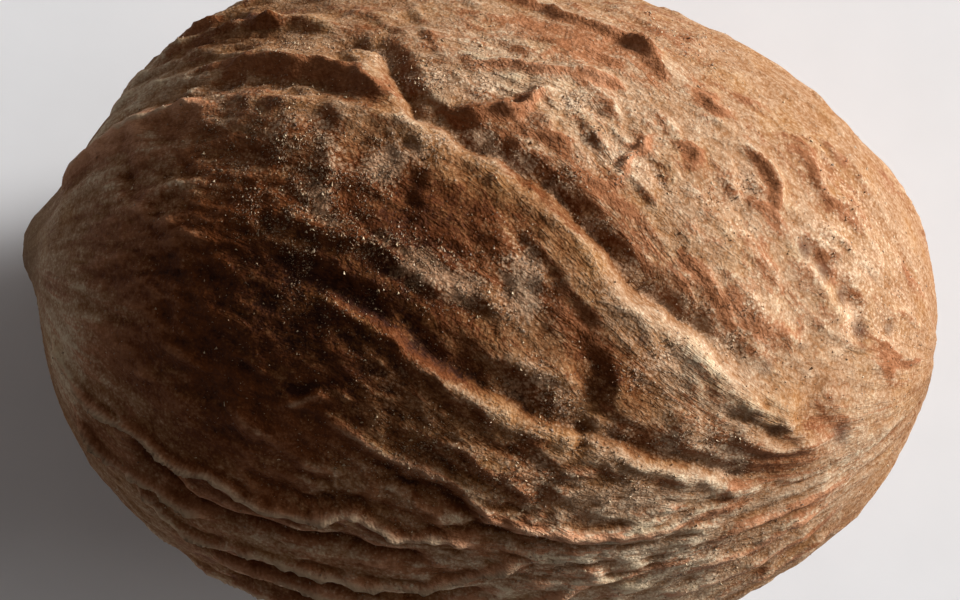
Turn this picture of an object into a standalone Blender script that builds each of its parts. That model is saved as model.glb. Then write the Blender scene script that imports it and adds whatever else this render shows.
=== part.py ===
"""A whole nutmeg: the dried kernel, one solid, folded all over and resting on a small flat spot.

Blender 4.5, metres, +Z up. +X is the long axis, towards the blossom end where the folds run
together. The stalk nub is at -X. A place on the skin is given by how far it lies along the
long axis, in millimetres, and by its angle around it, in degrees: 0 is the top, 90 is +Y.
"""

import math
import random
from typing import NamedTuple

import bmesh
import bpy
import numpy as np

MM = 0.001

# The bare kernel under the folds, in millimetres.
HALF_LENGTH = 12.8
HALF_WIDTH = 9.5
HALF_HEIGHT = 9.3
ROUNDNESS = 2.16            # exponent of the outline: 2 is an ellipse, more is fuller
STALK_FULLNESS = 0.038      # the stalk end is thicker by this share, the blossom end thinner
GRID_CUTS = 27              # cuts along each edge of the starting cube
SOFTENING = 0.5             # how far each point moves towards its neighbours at the end

# The stalk nub.
NUB_HEIGHT = 0.75
NUB_RADIUS = 1.0
NUB_Y = 0.5
NUB_EDGE = 4                # exponent of the nub's side: more is steeper

# The flat spot it rests on, and the calm skin around it.
SPOT_CUT = 0.16             # how much of the lowest skin is worn flat
CALM_INNER = 2.2            # no folds nearer than this to the spot's centre
CALM_OUTER = 5.5            # full folds from here on

# Folds.
COURSE_STEP = 0.35          # distance between the points of a fold's smoothed course
COURSE_SHARES = 12          # how many places the smoothing finds between two points
END_TAPER = 1.6             # a fold rises from nothing over this length at each end
LUMP_HEIGHT = 0.10          # broad unevenness of the skin
LUMP_WAVES = 5              # how many waves it is made of
LUMP_WAVE_LIMIT = 0.7       # the shortest wave, in radians per millimetre along each axis
HIDDEN_SEED = 11
HIDDEN_CREASES = 15         # creases shared out over the underside
HIDDEN_FROM = 84.0          # degrees around where they start
HIDDEN_TO = 282.0           # and where they end
HIDDEN_STATIONS = (-9.5, -6.0, -2.5, 1.0, 4.5, 8.0, 10.0)
HIDDEN_STARTS = (0, 0, 1)   # stations left out at the stalk end, drawn by chance
HIDDEN_ENDS = (0, 0, 1, 2)  # and at the blossom end
HIDDEN_SWAY = (2.0, 5.0)    # degrees by which a crease swings to and fro
HIDDEN_BEND = 0.42          # how fast it swings, in radians per millimetre
HIDDEN_STRAY = 1.5          # degrees by which a single point strays
HIDDEN_DEPTHS = (0.25, 0.55)
CREASE_REACHES = (1.2, 1.4)     # on the upper and the lower bank
RIDGE_REACHES = (1.4, 1.2)
RIDGE_TURN = 0.4            # a ridge lies this share of the gap beyond its crease
RIDGE_SHARE = 0.6           # its height as a share of the crease's depth

# The resting cut and the look of the skin.
CUT_CLOSENESS = 1e-7        # metres within which a point counts as lying on the cut
SKIN_COLOUR = (0.235, 0.115, 0.055, 1.0)
SKIN_ROUGHNESS = 0.72


class Fold(NamedTuple):
    """One crease or ridge: its height, its reach on either bank and its course."""
    name: str
    height: float           # millimetres, below the skin when negative
    upper: float            # reach on the bank of larger angles
    lower: float            # reach on the bank of smaller angles
    course: tuple           # (along, around) points


FOLDS = (
    Fold("keel", 0.50, 1.3, 3.4,
         ((-11, 37), (-8, 34), (-5.5, 31), (-2.5, 28), (0, 20), (2.2, 10), (4, -1),
          (6.3, -10), (8, -21), (8.8, -30))),
    Fold("main furrow", -0.80, 1.9, 1.3,
         ((-4.8, 47), (-3, 39), (-1, 31), (1.5, 22), (3, 12), (5, 4), (6.9, -4))),
    Fold("shoulder ridge", 0.35, 1.3, 1.2,
         ((-8, 46), (-5.5, 43), (-4, 39), (-2.8, 32))),
    Fold("shoulder valley", -0.35, 1.2, 1.2,
         ((-9, 41), (-6.5, 39), (-4.5, 36), (-3.5, 33))),
    Fold("top fold", 0.35, 1.3, 1.2,
         ((-10, 64), (-8, 57), (-6, 54), (-4.5, 50))),
    Fold("plateau fold", 0.30, 1.6, 1.2,
         ((-1, 61), (1.5, 56), (3.2, 51), (4.2, 43))),
    Fold("right hollow", -0.30, 1.2, 1.3,
         ((6.1, 29), (6.5, 22), (8, 18), (9.3, 11), (10, 2))),
    Fold("second furrow", -0.60, 1.3, 1.2,
         ((-5, 3), (-2.8, -1), (-1, -8), (1, -13), (3, -18), (5.5, -24), (8, -31))),
    Fold("second ridge", 0.38, 1.2, 1.3,
         ((-5, -3), (-2.7, -8), (-1, -15), (1, -19), (3.5, -24), (7, -32))),
    Fold("belly pit", -0.45, 1.3, 1.3,
         ((2.0, -5), (2.6, -12), (2.4, -19))),
    Fold("thin ridge", 0.32, 1.2, 1.2,
         ((-4.5, -21), (-2.5, -25), (0, -32), (2, -38), (5, -37), (7.5, -33))),
    Fold("flank ridge 1", 0.42, 1.2, 1.2,
         ((-12, -30), (-10, -36), (-8, -38), (-6, -39), (-3.5, -38), (0, -39))),
    Fold("flank furrow 1", -0.32, 1.1, 1.1,
         ((-10.5, -43), (-8.3, -45), (-6, -47), (-3, -46), (0, -45))),
    Fold("flank ridge 3", 0.40, 1.2, 1.2,
         ((-9.5, -53), (-7.5, -56), (-5, -54), (-2, -53), (0.5, -49), (2.3, -44), (5, -43))),
    Fold("low furrow", -0.32, 1.1, 1.1,
         ((-8.5, -63), (-6, -61), (-3.5, -60), (0, -58), (3, -53), (5.5, -50))),
    Fold("low fold", 0.35, 1.2, 1.2,
         ((-8.5, -70), (-6, -68), (-3.5, -67), (0, -66), (3, -61), (6, -56))),
    Fold("neck hollow", -0.30, 1.6, 1.6,
         ((-11.8, 75), (-11.6, 55), (-11.4, 42))),
)


def swell(along):
    """Thickness of the kernel at a place along it, as a share of its thickest."""
    share = np.clip(np.asarray(along, dtype=float) / HALF_LENGTH, -1.0, 1.0)
    outline = (1.0 - np.abs(share) ** ROUNDNESS) ** (1.0 / ROUNDNESS)
    return outline * (1.0 - STALK_FULLNESS * share)


def skin_points(along, around):
    """Points on the bare skin from places along and angles around."""
    angle = np.radians(np.asarray(around, dtype=float))
    thickness = swell(along)
    across = HALF_WIDTH * thickness * np.sin(angle)
    height = HALF_HEIGHT * thickness * np.cos(angle)
    return np.stack([np.asarray(along, dtype=float), across, height], axis=-1)


def skin_normals(points):
    """Directions straight out of the skin at points on it."""
    slopes = points / np.array([HALF_LENGTH ** 2, HALF_WIDTH ** 2, HALF_HEIGHT ** 2])
    return slopes / np.linalg.norm(slopes, axis=1, keepdims=True)


def smooth_course(course):
    """The curve through a course's points, laid on the skin, with even small steps."""
    knots = np.array([course[0], *course, course[-1]], dtype=float)
    places = []
    for before, start, end, after in zip(knots, knots[1:], knots[2:], knots[3:]):
        for share in np.linspace(0.0, 1.0, COURSE_SHARES, endpoint=False):
            bend = (2 * before - 5 * start + 4 * end - after) * share ** 2
            twist = (3 * start - before - 3 * end + after) * share ** 3
            places.append(0.5 * (2 * start + (end - before) * share + bend + twist))
    places.append(knots[-1])
    places = np.array(places)
    curve = skin_points(places[:, 0], places[:, 1])
    travelled = np.append(0.0, np.cumsum(np.linalg.norm(np.diff(curve, axis=0), axis=1)))
    stops = np.linspace(0.0, travelled[-1], max(3, int(travelled[-1] / COURSE_STEP)))
    evenly = [np.interp(stops, travelled, curve[:, axis]) for axis in range(3)]
    return np.stack(evenly, axis=1), stops


def fold_relief(points, normals, fold):
    """How far one fold lifts or sinks each point of the skin."""
    curve, stops = smooth_course(fold.course)
    nearest = np.full(len(points), np.inf)
    place = np.zeros(len(points))
    side = np.zeros(len(points))
    for start, end, begun in zip(curve, curve[1:], stops):
        run = end - start
        length = np.linalg.norm(run)
        share = np.clip((points - start) @ run / length ** 2, 0.0, 1.0)
        offset = points - start - share[:, None] * run
        distance = np.linalg.norm(offset, axis=1)
        closer = distance < nearest
        nearest[closer] = distance[closer]
        place[closer] = (begun + share * length)[closer]
        leftwards = np.cross(normals, run)
        side[closer] = np.einsum("ij,ij->i", leftwards, offset)[closer]
    reach = np.where(side > 0.0, fold.upper, fold.lower)
    bank = np.clip(1.0 - (nearest / reach) ** 2, 0.0, 1.0) ** 2
    to_end = np.minimum(place, stops[-1] - place)
    taper = np.clip(to_end / END_TAPER, 0.0, 1.0)
    return fold.height * bank * taper * taper * (3.0 - 2.0 * taper)


def hidden_folds():
    """Creases with a ridge beside each, wandering from end to end over the underside."""
    chance = random.Random(HIDDEN_SEED)
    gap = (HIDDEN_TO - HIDDEN_FROM) / (HIDDEN_CREASES - 1)
    folds = []
    for number in range(HIDDEN_CREASES):
        middle = HIDDEN_FROM + number * gap
        sway = chance.uniform(*HIDDEN_SWAY)
        phase = chance.uniform(0.0, math.tau)
        course = []
        for along in HIDDEN_STATIONS:
            drift = sway * math.sin(HIDDEN_BEND * along + phase)
            drift += chance.uniform(-HIDDEN_STRAY, HIDDEN_STRAY)
            course.append((along, middle + drift))
        first = chance.choice(HIDDEN_STARTS)
        last = len(course) - chance.choice(HIDDEN_ENDS)
        depth = chance.uniform(*HIDDEN_DEPTHS)
        crease = tuple(course[first:last])
        ridge = tuple((along, around + RIDGE_TURN * gap) for along, around in crease)
        folds.append(Fold("hidden crease", -depth, *CREASE_REACHES, crease))
        folds.append(Fold("hidden ridge", RIDGE_SHARE * depth, *RIDGE_REACHES, ridge))
    return folds


def lumps(points):
    """Broad gentle unevenness: a few crossing waves with set directions."""
    chance = random.Random(HIDDEN_SEED + 1)
    total = np.zeros(len(points))
    for _ in range(LUMP_WAVES):
        wave = np.array([chance.uniform(-LUMP_WAVE_LIMIT, LUMP_WAVE_LIMIT) for _ in range(3)])
        total += np.sin(points @ wave + chance.uniform(0.0, math.tau))
    return LUMP_HEIGHT * total / math.sqrt(LUMP_WAVES)


def calm_near_spot(points):
    """0 on the resting spot, rising to 1 where the folds have their full height."""
    away = np.hypot(points[:, 0], points[:, 1])
    share = np.clip((away - CALM_INNER) / (CALM_OUTER - CALM_INNER), 0.0, 1.0)
    return np.where(points[:, 2] < 0.0, share * share * (3.0 - 2.0 * share), 1.0)


def raise_nub(points):
    """The stalk nub, pushed out at the -X end."""
    from_axis = np.hypot(points[:, 1] - NUB_Y, points[:, 2])
    push = NUB_HEIGHT / (1.0 + (from_axis / NUB_RADIUS) ** NUB_EDGE)
    points[:, 0] -= np.where(points[:, 0] < 0.0, push, 0.0)


def even_ball():
    """A ball of evenly sized squares, from a cube cut into a grid."""
    mesh = bmesh.new()
    bmesh.ops.create_cube(mesh, size=2.0)
    bmesh.ops.subdivide_edges(mesh, edges=mesh.edges[:], cuts=GRID_CUTS, use_grid_fill=True)
    for vertex in mesh.verts:
        for axis in range(3):
            vertex.co[axis] = math.tan(vertex.co[axis] * math.pi / 4.0)
        vertex.co.normalize()
    return mesh


def shape_kernel(mesh):
    """Draws the ball out to the kernel and works its folds, lumps and nub into the skin."""
    ball = np.array([vertex.co[:] for vertex in mesh.verts])
    along = HALF_LENGTH * ball[:, 0]
    around = np.degrees(np.arctan2(ball[:, 1], ball[:, 2]))
    points = skin_points(along, around)
    normals = skin_normals(points)
    relief = lumps(points)
    for fold in (*FOLDS, *hidden_folds()):
        relief += fold_relief(points, normals, fold)
    points += normals * (relief * calm_near_spot(points))[:, None]
    raise_nub(points)
    for vertex, point in zip(mesh.verts, points):
        vertex.co = point * MM
    bmesh.ops.smooth_vert(mesh, verts=mesh.verts[:], factor=SOFTENING,
                          use_axis_x=True, use_axis_y=True, use_axis_z=True)
    bmesh.ops.triangulate(mesh, faces=mesh.faces[:], quad_method="SHORT_EDGE")


def wear_spot_flat(mesh):
    """Cuts the lowest skin level and closes the cut with one flat face."""
    level = min(vertex.co.z for vertex in mesh.verts) + SPOT_CUT * MM
    everything = mesh.verts[:] + mesh.edges[:] + mesh.faces[:]
    cut = bmesh.ops.bisect_plane(mesh, geom=everything, dist=CUT_CLOSENESS,
                                 plane_co=(0.0, 0.0, level), plane_no=(0.0, 0.0, 1.0), clear_inner=True)
    rim = [item for item in cut["geom_cut"] if isinstance(item, bmesh.types.BMEdge)]
    bmesh.ops.contextual_create(mesh, geom=rim)


def stand_on_origin(mesh):
    """Moves the kernel so that its box is centred over the origin and starts at z = 0."""
    places = np.array([vertex.co[:] for vertex in mesh.verts])
    low = places.min(axis=0)
    high = places.max(axis=0)
    shift = (-(low[0] + high[0]) / 2.0, -(low[1] + high[1]) / 2.0, -low[2])
    bmesh.ops.translate(mesh, verts=mesh.verts[:], vec=shift)


def skin_material():
    """Dry matt brown skin."""
    material = bpy.data.materials.new("nutmeg_skin")
    material.use_nodes = True
    shader = material.node_tree.nodes["Principled BSDF"]
    shader.inputs["Base Color"].default_value = SKIN_COLOUR
    shader.inputs["Roughness"].default_value = SKIN_ROUGHNESS
    shader.inputs["Metallic"].default_value = 0.0
    return material


def make_nutmeg():
    """The finished kernel as one object."""
    mesh = even_ball()
    shape_kernel(mesh)
    wear_spot_flat(mesh)
    stand_on_origin(mesh)
    bmesh.ops.recalc_face_normals(mesh, faces=mesh.faces[:])
    data = bpy.data.meshes.new("nutmeg")
    mesh.to_mesh(data)
    mesh.free()
    data.shade_smooth()
    data.materials.append(skin_material())
    bpy.context.scene.collection.objects.link(bpy.data.objects.new("nutmeg", data))


for leftover in list(bpy.data.objects):
    bpy.data.objects.remove(leftover, do_unlink=True)
make_nutmeg()
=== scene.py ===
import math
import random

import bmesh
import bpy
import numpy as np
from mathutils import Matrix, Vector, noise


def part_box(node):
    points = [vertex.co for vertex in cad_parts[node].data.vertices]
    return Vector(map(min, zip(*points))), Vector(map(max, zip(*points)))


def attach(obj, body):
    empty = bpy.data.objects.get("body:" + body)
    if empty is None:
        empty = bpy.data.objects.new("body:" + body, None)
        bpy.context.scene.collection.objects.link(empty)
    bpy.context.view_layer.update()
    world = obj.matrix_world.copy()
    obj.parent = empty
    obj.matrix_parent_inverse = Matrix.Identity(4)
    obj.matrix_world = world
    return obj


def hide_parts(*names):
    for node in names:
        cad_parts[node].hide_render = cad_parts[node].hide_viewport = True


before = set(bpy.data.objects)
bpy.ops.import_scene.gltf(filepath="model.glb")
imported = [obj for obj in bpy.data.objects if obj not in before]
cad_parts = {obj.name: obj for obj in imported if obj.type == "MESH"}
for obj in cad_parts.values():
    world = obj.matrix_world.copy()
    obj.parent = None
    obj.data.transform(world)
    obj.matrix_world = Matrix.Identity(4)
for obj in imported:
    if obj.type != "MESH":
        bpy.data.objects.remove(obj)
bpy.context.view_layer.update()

# %% [markdown]
# # A whole nutmeg
#
# A nutmeg is the dried kernel of a fruit. While it dries it shrinks, and its skin gathers into
# folds that wander from the stalk nub at one end to the blossom end at the other. It has no
# moving parts, so this lesson is all about one skin: its folds, its wrinkles, its colours, and
# the spice dust that clings to it. The solid part is already in the frame. It is kept for
# weight and collision, and a finer skin is shown in its place. Everything that is left to
# chance or to noise has a set seed, so the same nutmeg comes out each time.

MM = 0.001
noise_seed = 8
noise.seed_set(noise_seed)


# %% [markdown]
# ## The bare kernel
#
# Under its folds the kernel is an egg lying on its side. A scaled sphere would do, but a real
# one is fuller than an ellipse and a little thicker at the stalk end, so its thickness comes
# from a short formula instead. Every later step names a place on the skin by two numbers: how
# far **along** the kernel it lies, in millimetres, and its angle **around** it, in degrees.
# 0 is straight up and 90 is towards +Y.

# %% Shape of the bare kernel
half_length = 12.8
half_width = 9.5
half_height = 9.3
roundness = 2.16            # 2 is an ellipse, more is fuller
stalk_fullness = 0.038      # how much thicker the stalk end is


def swell(along):
    """Thickness of the kernel at a place along it, as a share of its thickest."""
    share = np.clip(np.asarray(along, dtype=float) / half_length, -1.0, 1.0)
    outline = (1.0 - np.abs(share) ** roundness) ** (1.0 / roundness)
    return outline * (1.0 - stalk_fullness * share)


def skin_points(along, around):
    """Points on the bare skin, in millimetres from the kernel's middle."""
    angle = np.radians(np.asarray(around, dtype=float))
    thickness = swell(along)
    across = half_width * thickness * np.sin(angle)
    height = half_height * thickness * np.cos(angle)
    return np.stack([np.asarray(along, dtype=float), across, height], axis=-1)


def skin_normals(points):
    """Directions straight out of the bare skin."""
    slopes = points / np.array([half_length ** 2, half_width ** 2, half_height ** 2])
    return slopes / np.linalg.norm(slopes, axis=1, keepdims=True)


print("thickness shares from end to end:", np.round(swell([-12, -6, 0, 6, 12]), 2))

# %% [markdown]
# A globe's mesh is crowded at its poles, and there the wrinkles would smear. A cube cut into a
# fine grid and blown up to a ball has even squares all over. The tangent spreads the grid so
# that squares near the cube's corners aren't smaller than those in the middle of its sides. The
# top is looked at most closely, so the squares are then drawn together a little towards it.

# %% An even ball, drawn out to the kernel
grid_cuts = 127
crowding = 0.42             # how strongly the squares are drawn towards the top


def to_ball(places):
    """Places pushed in or out until all lie one unit from the middle."""
    return places / np.linalg.norm(places, axis=1, keepdims=True)


kernel = bmesh.new()
bmesh.ops.create_cube(kernel, size=2.0)
bmesh.ops.subdivide_edges(kernel, edges=kernel.edges[:], cuts=grid_cuts, use_grid_fill=True)
cube_places = np.array([corner.co[:] for corner in kernel.verts])
ball_places = to_ball(np.tan(cube_places * math.pi / 4.0))
ball_places[:, 2] += crowding
ball_places = to_ball(ball_places)
along = half_length * ball_places[:, 0]
around = np.degrees(np.arctan2(ball_places[:, 1], ball_places[:, 2]))
bare = skin_points(along, around)
outwards = skin_normals(bare)
edge_start, edge_end = np.array([[corner.index for corner in edge.verts] for edge in kernel.edges]).T
print("skin points:", len(bare), " edges:", len(edge_start))

# %% [markdown]
# ## Folds
#
# Each fold is a line drawn on the skin through a few chosen places, with a height and a reach
# on either bank. A soft bend could be sculpted by hand, but a line with numbers can be read,
# moved and made again. A fold on a dried kernel leans: one bank is long and easy and the other
# is short and steep, so the two banks have reaches of their own. High folds keep a line along
# the crest, where the shaded side gets a painted highlight, and keen ones keep a strip just below
# the crest that is shown bare red brown, partly bare skin and partly painted shade. Both marks
# are kept for the colours.

# %% How a fold is pressed into the skin
course_step = 0.25          # distance between the points of a fold's smoothed line
course_shares = 10          # steps from one chosen place to the next, before they are made even
end_taper = 1.2             # a fold rises from nothing over this length, in millimetres
longest_taper = 0.45        # but never over more than this share of its own length
worn_width = 0.19           # how far the painted crest highlight reaches to either side of a crest, in millimetres
least_worn = 0.11           # lower folds get no painted crest highlight
fully_worn = 0.25           # folds at least this high get the full painted highlight along the crest
edge_above = 0.3            # how far above a keen crest the bare, partly painted-shade strip reaches, in lower reaches
edge_below = 1.3            # and how far below it
keen_from = 0.80            # folds at least this sharp get a bare strip below the crest, partly painted shade
even_from = 0.30            # deeper furrows run evenly, lower folds come and go


def smooth_course(course):
    """The curve through a fold's places, laid on the skin in even small steps."""
    knots = np.array([course[0], *course, course[-1]], dtype=float)
    places = []
    for before, start, end, after in zip(knots, knots[1:], knots[2:], knots[3:]):
        for share in np.linspace(0.0, 1.0, course_shares, endpoint=False):
            bend = (2 * before - 5 * start + 4 * end - after) * share ** 2
            twist = (3 * start - before - 3 * end + after) * share ** 3
            places.append(0.5 * (2 * start + (end - before) * share + bend + twist))
    places = np.array([*places, knots[-1]])
    curve = skin_points(places[:, 0], places[:, 1])
    travelled = np.append(0.0, np.cumsum(np.linalg.norm(np.diff(curve, axis=0), axis=1)))
    stops = np.linspace(0.0, travelled[-1], max(3, int(travelled[-1] / course_step)))
    evenly = [np.interp(stops, travelled, curve[:, axis]) for axis in range(3)]
    return np.stack(evenly, axis=1), stops


def measure_to_course(points, normals, curve, stops):
    """Distance to the curve, place along it, and on which bank each point lies."""
    nearest = np.full(len(points), np.inf)
    place = np.zeros(len(points))
    bank = np.zeros(len(points))
    for start, end, begun in zip(curve, curve[1:], stops):
        run = end - start
        length = np.linalg.norm(run)
        share = np.clip((points - start) @ run / length ** 2, 0.0, 1.0)
        offset = points - start - share[:, None] * run
        distance = np.linalg.norm(offset, axis=1)
        closer = distance < nearest
        nearest[closer] = distance[closer]
        place[closer] = (begun + share * length)[closer]
        upper_side = np.einsum("ij,ij->i", np.cross(normals, run), offset)
        bank[closer] = upper_side[closer]
    return nearest, place, bank


def press_fold(marks, points, height, upper, lower, sharpness, course):
    """Adds one fold to the relief. Sharpness 0 gives a round back, 1 gives a keen edge."""
    curve, stops = smooth_course(course)
    reach = max(upper, lower)
    close = np.all((points > curve.min(axis=0) - reach) & (points < curve.max(axis=0) + reach), axis=1)
    nearest, place, bank = measure_to_course(points[close], outwards[close], curve, stops)
    out = np.clip(nearest / np.where(bank > 0.0, upper, lower), 0.0, 1.0)
    slope = (1.0 - out) ** 2 * (1.0 + 2.0 * (1.0 - sharpness) * out)
    taper = min(max(end_taper, reach), longest_taper * stops[-1])
    ramp = np.clip(np.minimum(place, stops[-1] - place) / taper, 0.0, 1.0)
    evenness = 1.0 if height < -even_from else patchy[close]
    marks["relief"][close] += height * slope * ramp * ramp * (3.0 - 2.0 * ramp) * evenness
    # A high fold's crest line becomes a painted highlight on the shaded side.
    if height > least_worn:
        fullness = ramp * min(1.0, height / fully_worn)
        line = np.clip(1.0 - nearest / worn_width, 0.0, 1.0) * fullness
        marks["worn"][close] = np.maximum(marks["worn"][close], line)
        # The strip below a keen crest is shown bare red brown, partly bare skin and partly painted shade.
        if sharpness >= keen_from:
            bare_reach = np.where(bank > 0.0, edge_above, edge_below) * lower
            edge = np.clip(1.0 - nearest / bare_reach, 0.0, 1.0) * ramp
            marks["edged"][close] = np.maximum(marks["edged"][close], edge)


print("a course of three places gives", len(smooth_course(((0, 0), (3, 5), (6, 0)))[0]), "points")

# %% [markdown]
# The great folds come first, because every smaller one runs with them. A **keel** comes from
# the stalk end, crosses the top and dives towards the blossom end, with a deep **furrow** along
# its upper bank. Below it lies the broad round **belly**, and under that a second furrow and
# ridge. Each line of the table is one fold: height in millimetres (below the skin if negative),
# reach of the upper bank, reach of the lower bank, sharpness, and its places.

# %% The great folds
great_folds = {
    "keel": (0.26, 0.5, 2.2, 0.6, ((-11.3, 40), (-9, 35.5), (-6.6, 34), (-5, 31.5), (-2.8, 29),
        (-1.3, 23.5), (0.3, 19), (1.6, 13.5), (2.7, 7), (3.7, 1.5), (5, -3), (6.4, -9.5), (7.5, -15),
        (8.4, -22), (8.8, -29))),
    "stalk shoulder": (0.24, 0.5, 0.9, 0.8, ((-12.3, 37), (-11.3, 38), (-9.6, 36.5), (-7.6, 35))),
    "main furrow": (-0.37, 0.75, 0.34, 0.6, ((-5.5, 47), (-3.7, 44.5), (-3.1, 38), (-2.5, 32), (-1.5, 27.8),
        (-0.1, 23.6), (1.2, 19.6), (2.4, 13.3), (3.5, 6.8), (4.8, 1.8), (5.9, -2.6))),
    "furrow's end": (-0.12, 0.6, 0.5, 0.4, ((4.6, 2.6), (5.7, -1.8), (6.6, -5.5), (7.4, -9))),
    "shoulder ridge": (0.3, 0.5, 0.45, 0.8, ((-7.6, 44.5), (-5.8, 43), (-4.2, 39.5), (-3.4, 35),
        (-2.6, 30.5))),
    "shoulder valley": (-0.24, 0.6, 0.6, 0.4, ((-8.5, 41), (-6.5, 39.5), (-4.8, 37), (-3.8, 33.5))),
    "top fold": (0.32, 0.7, 0.45, 0.75, ((-10, 64), (-8.2, 58), (-6, 54.5), (-4.4, 50))),
    "second furrow": (-0.2, 0.8, 0.5, 0.45, ((-6.2, 5), (-4, 0.5), (-2.4, -3.5), (-1.2, -9), (0.3, -12.5),
        (1.8, -17), (3.6, -20.5), (5.3, -24.5), (7, -29), (8.4, -32))),
    "second ridge": (0.12, 0.45, 0.5, 0.6, ((-4.8, -1), (-3, -5), (-1.7, -9), (-0.9, -13), (0.7, -16.5),
        (2.4, -20), (4, -23.5), (6, -28.5), (7.8, -33))),
}

# %% [markdown]
# The belly isn't smooth. Shallow ridges and hollows cross it, and at its far end it breaks off
# into a rounded lobe over a deep pit, with a few lumps beyond.

# %% Folds of the belly
belly_folds = {
    "belly rim": (0.09, 0.8, 0.45, 0.6, ((-6.2, 12.5), (-4.6, 10), (-3, 7.5), (-1.6, 3), (0, 0.5),
        (1.1, -3))),
    "under the rim": (-0.07, 0.5, 0.6, 0.5, ((-6, 9.5), (-4.4, 6.5), (-2.6, 3.5), (-1.2, 0.5), (0.4, -2.5))),
    "dusty cross ridge": (0.06, 0.5, 0.5, 0.6, ((-4.6, 27), (-4.4, 20), (-4.4, 13), (-4, 9))),
    "hollow beside it": (-0.06, 0.5, 0.6, 0.5, ((-3.8, 27), (-3.7, 22), (-3.6, 17))),
    "belly trough": (-0.08, 0.6, 0.6, 0.4, ((-2.4, 22), (-2.3, 16), (-2.6, 10))),
    "belly swelling": (0.1, 0.9, 0.9, 0.2, ((-0.6, 17), (0.2, 11), (0, 6))),
    "second swelling": (0.09, 0.8, 0.8, 0.2, ((1.6, 10), (2, 4), (1.8, 0))),
    "lobe": (0.12, 0.6, 0.8, 0.4, ((-0.2, -5.5), (0.9, -8), (1.9, -10), (2.2, -13), (1.7, -15.5))),
    "pit": (-0.14, 0.7, 0.8, 0.2, ((2, 2), (2.5, -4), (2.8, -9), (2.6, -14), (2.9, -18.5))),
    "gap in the ridge": (-0.19, 0.38, 0.42, 0.2, ((2.4, -17), (2.7, -20), (2.6, -24))),
    "lump past the pit": (0.13, 0.6, 0.65, 0.3, ((3.3, -5), (3.4, -10), (3.8, -15))),
    "second lump": (0.12, 0.6, 0.7, 0.3, ((5.1, -12), (5.4, -16), (5.8, -19.5))),
    "nick": (-0.1, 0.3, 0.4, 0.6, ((4.2, -2.5), (4.8, -4.5), (5.1, -8.5))),
    "second nick": (-0.1, 0.35, 0.35, 0.6, ((5.4, -19.5), (6, -21), (6.8, -24))),
    "stalk side crease": (-0.1, 0.5, 0.5, 0.6, ((-10.2, 33), (-9.9, 22), (-9.6, 12))),
}

# %% [markdown]
# The flank below the second ridge is gathered into long thin folds, one above the other like
# the hem of a curtain. Their backs are keen and their lower banks steep.

# %% Folds of the flank
flank_folds = {
    "thin ridge": (0.16, 0.34, 0.34, 0.9, ((-4.4, -20.5), (-3, -23), (-2, -26.5), (-0.6, -29), (0.3, -33),
        (1.5, -36.5), (3.2, -38), (5.3, -37.5), (6.7, -35), (7.6, -32.5))),
    "under the thin ridge": (-0.2, 0.45, 0.65, 0.4, ((-3, -27), (-1.8, -30), (-0.5, -33), (0.8, -38.5),
        (2.4, -40))),
    "short ridge": (0.18, 0.35, 0.35, 0.85, ((-4.9, -29.5), (-4, -30), (-3.1, -30))),
    "west fold": (0.15, 0.55, 0.5, 0.7, ((-6.6, -18.5), (-6.2, -23), (-5.7, -25.5), (-4.6, -25))),
    "west crease": (-0.14, 0.4, 0.5, 0.6, ((-6.4, -14), (-5.2, -17), (-4.4, -15.5), (-3.4, -15))),
    "west crest": (0.17, 0.3, 0.3, 0.85, ((-6, -18), (-5, -19), (-4.3, -17), (-3.2, -17.5))),
    "hollow over ridge one": (-0.2, 0.6, 0.6, 0.4, ((-6.2, -32), (-5.4, -35.5), (-4.3, -36.5), (-3, -35.5),
        (-1.8, -37))),
    "flank ridge one": (0.38, 0.28, 0.26, 0.95, ((-12, -29), (-10.9, -37), (-9.8, -36.5), (-8.8, -35.5),
        (-8, -38.5), (-6.8, -37.5), (-6, -40), (-4.5, -40.5), (-3.2, -38), (-1.6, -40.5), (0.6, -41))),
    "flank furrow one": (-0.36, 0.45, 0.65, 0.45, ((-9.6, -39.5), (-8.4, -43), (-7.2, -46), (-5, -46),
        (-3, -45), (-0.6, -46))),
    "flank ridge two": (0.33, 0.27, 0.26, 0.95, ((-11.2, -48), (-10.2, -51), (-9, -48.5), (-7.6, -50),
        (-6.4, -49))),
    "flank ridge three": (0.4, 0.28, 0.27, 0.95, ((-9.4, -51.5), (-8.2, -56), (-7.3, -57.5), (-5.6, -54.5),
        (-4, -54), (-1.5, -53), (-0.2, -50.5), (1, -46.5), (2, -43))),
    "flank furrow three": (-0.34, 0.4, 0.65, 0.45, ((-9, -57), (-7.4, -62), (-5.5, -59), (-3.5, -58.5),
        (-1, -57.5), (1.2, -51))),
    "low ridge": (0.34, 0.36, 0.34, 0.8, ((-7.2, -65), (-6, -63.5), (-4.6, -62), (-2.6, -62), (-0.5, -61),
        (1.6, -57), (2.8, -53), (3.5, -49))),
    "low furrow": (-0.3, 0.5, 0.65, 0.45, ((-7, -71), (-4.5, -68), (-1.5, -67), (1.5, -63), (3.4, -56))),
    "lowest ridge": (0.3, 0.45, 0.45, 0.8, ((-8, -77), (-5, -73), (-1, -72), (2.5, -68), (5, -62))),
    "flank lump": (0.16, 0.5, 0.6, 0.4, ((3.9, -43), (4.3, -46), (5, -46.5))),
    "second flank lump": (0.15, 0.5, 0.6, 0.4, ((3.8, -51), (4.4, -54), (5.3, -53))),
}

# %% [markdown]
# Above the main furrow lies a lumpy plateau, with short hooked folds, and past it the blossom
# end, which is tight and nearly smooth. A neck, a cheek and two slopes are broad shallow
# hollows: they take the egg shape in where a real kernel's outline isn't as full.

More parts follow.
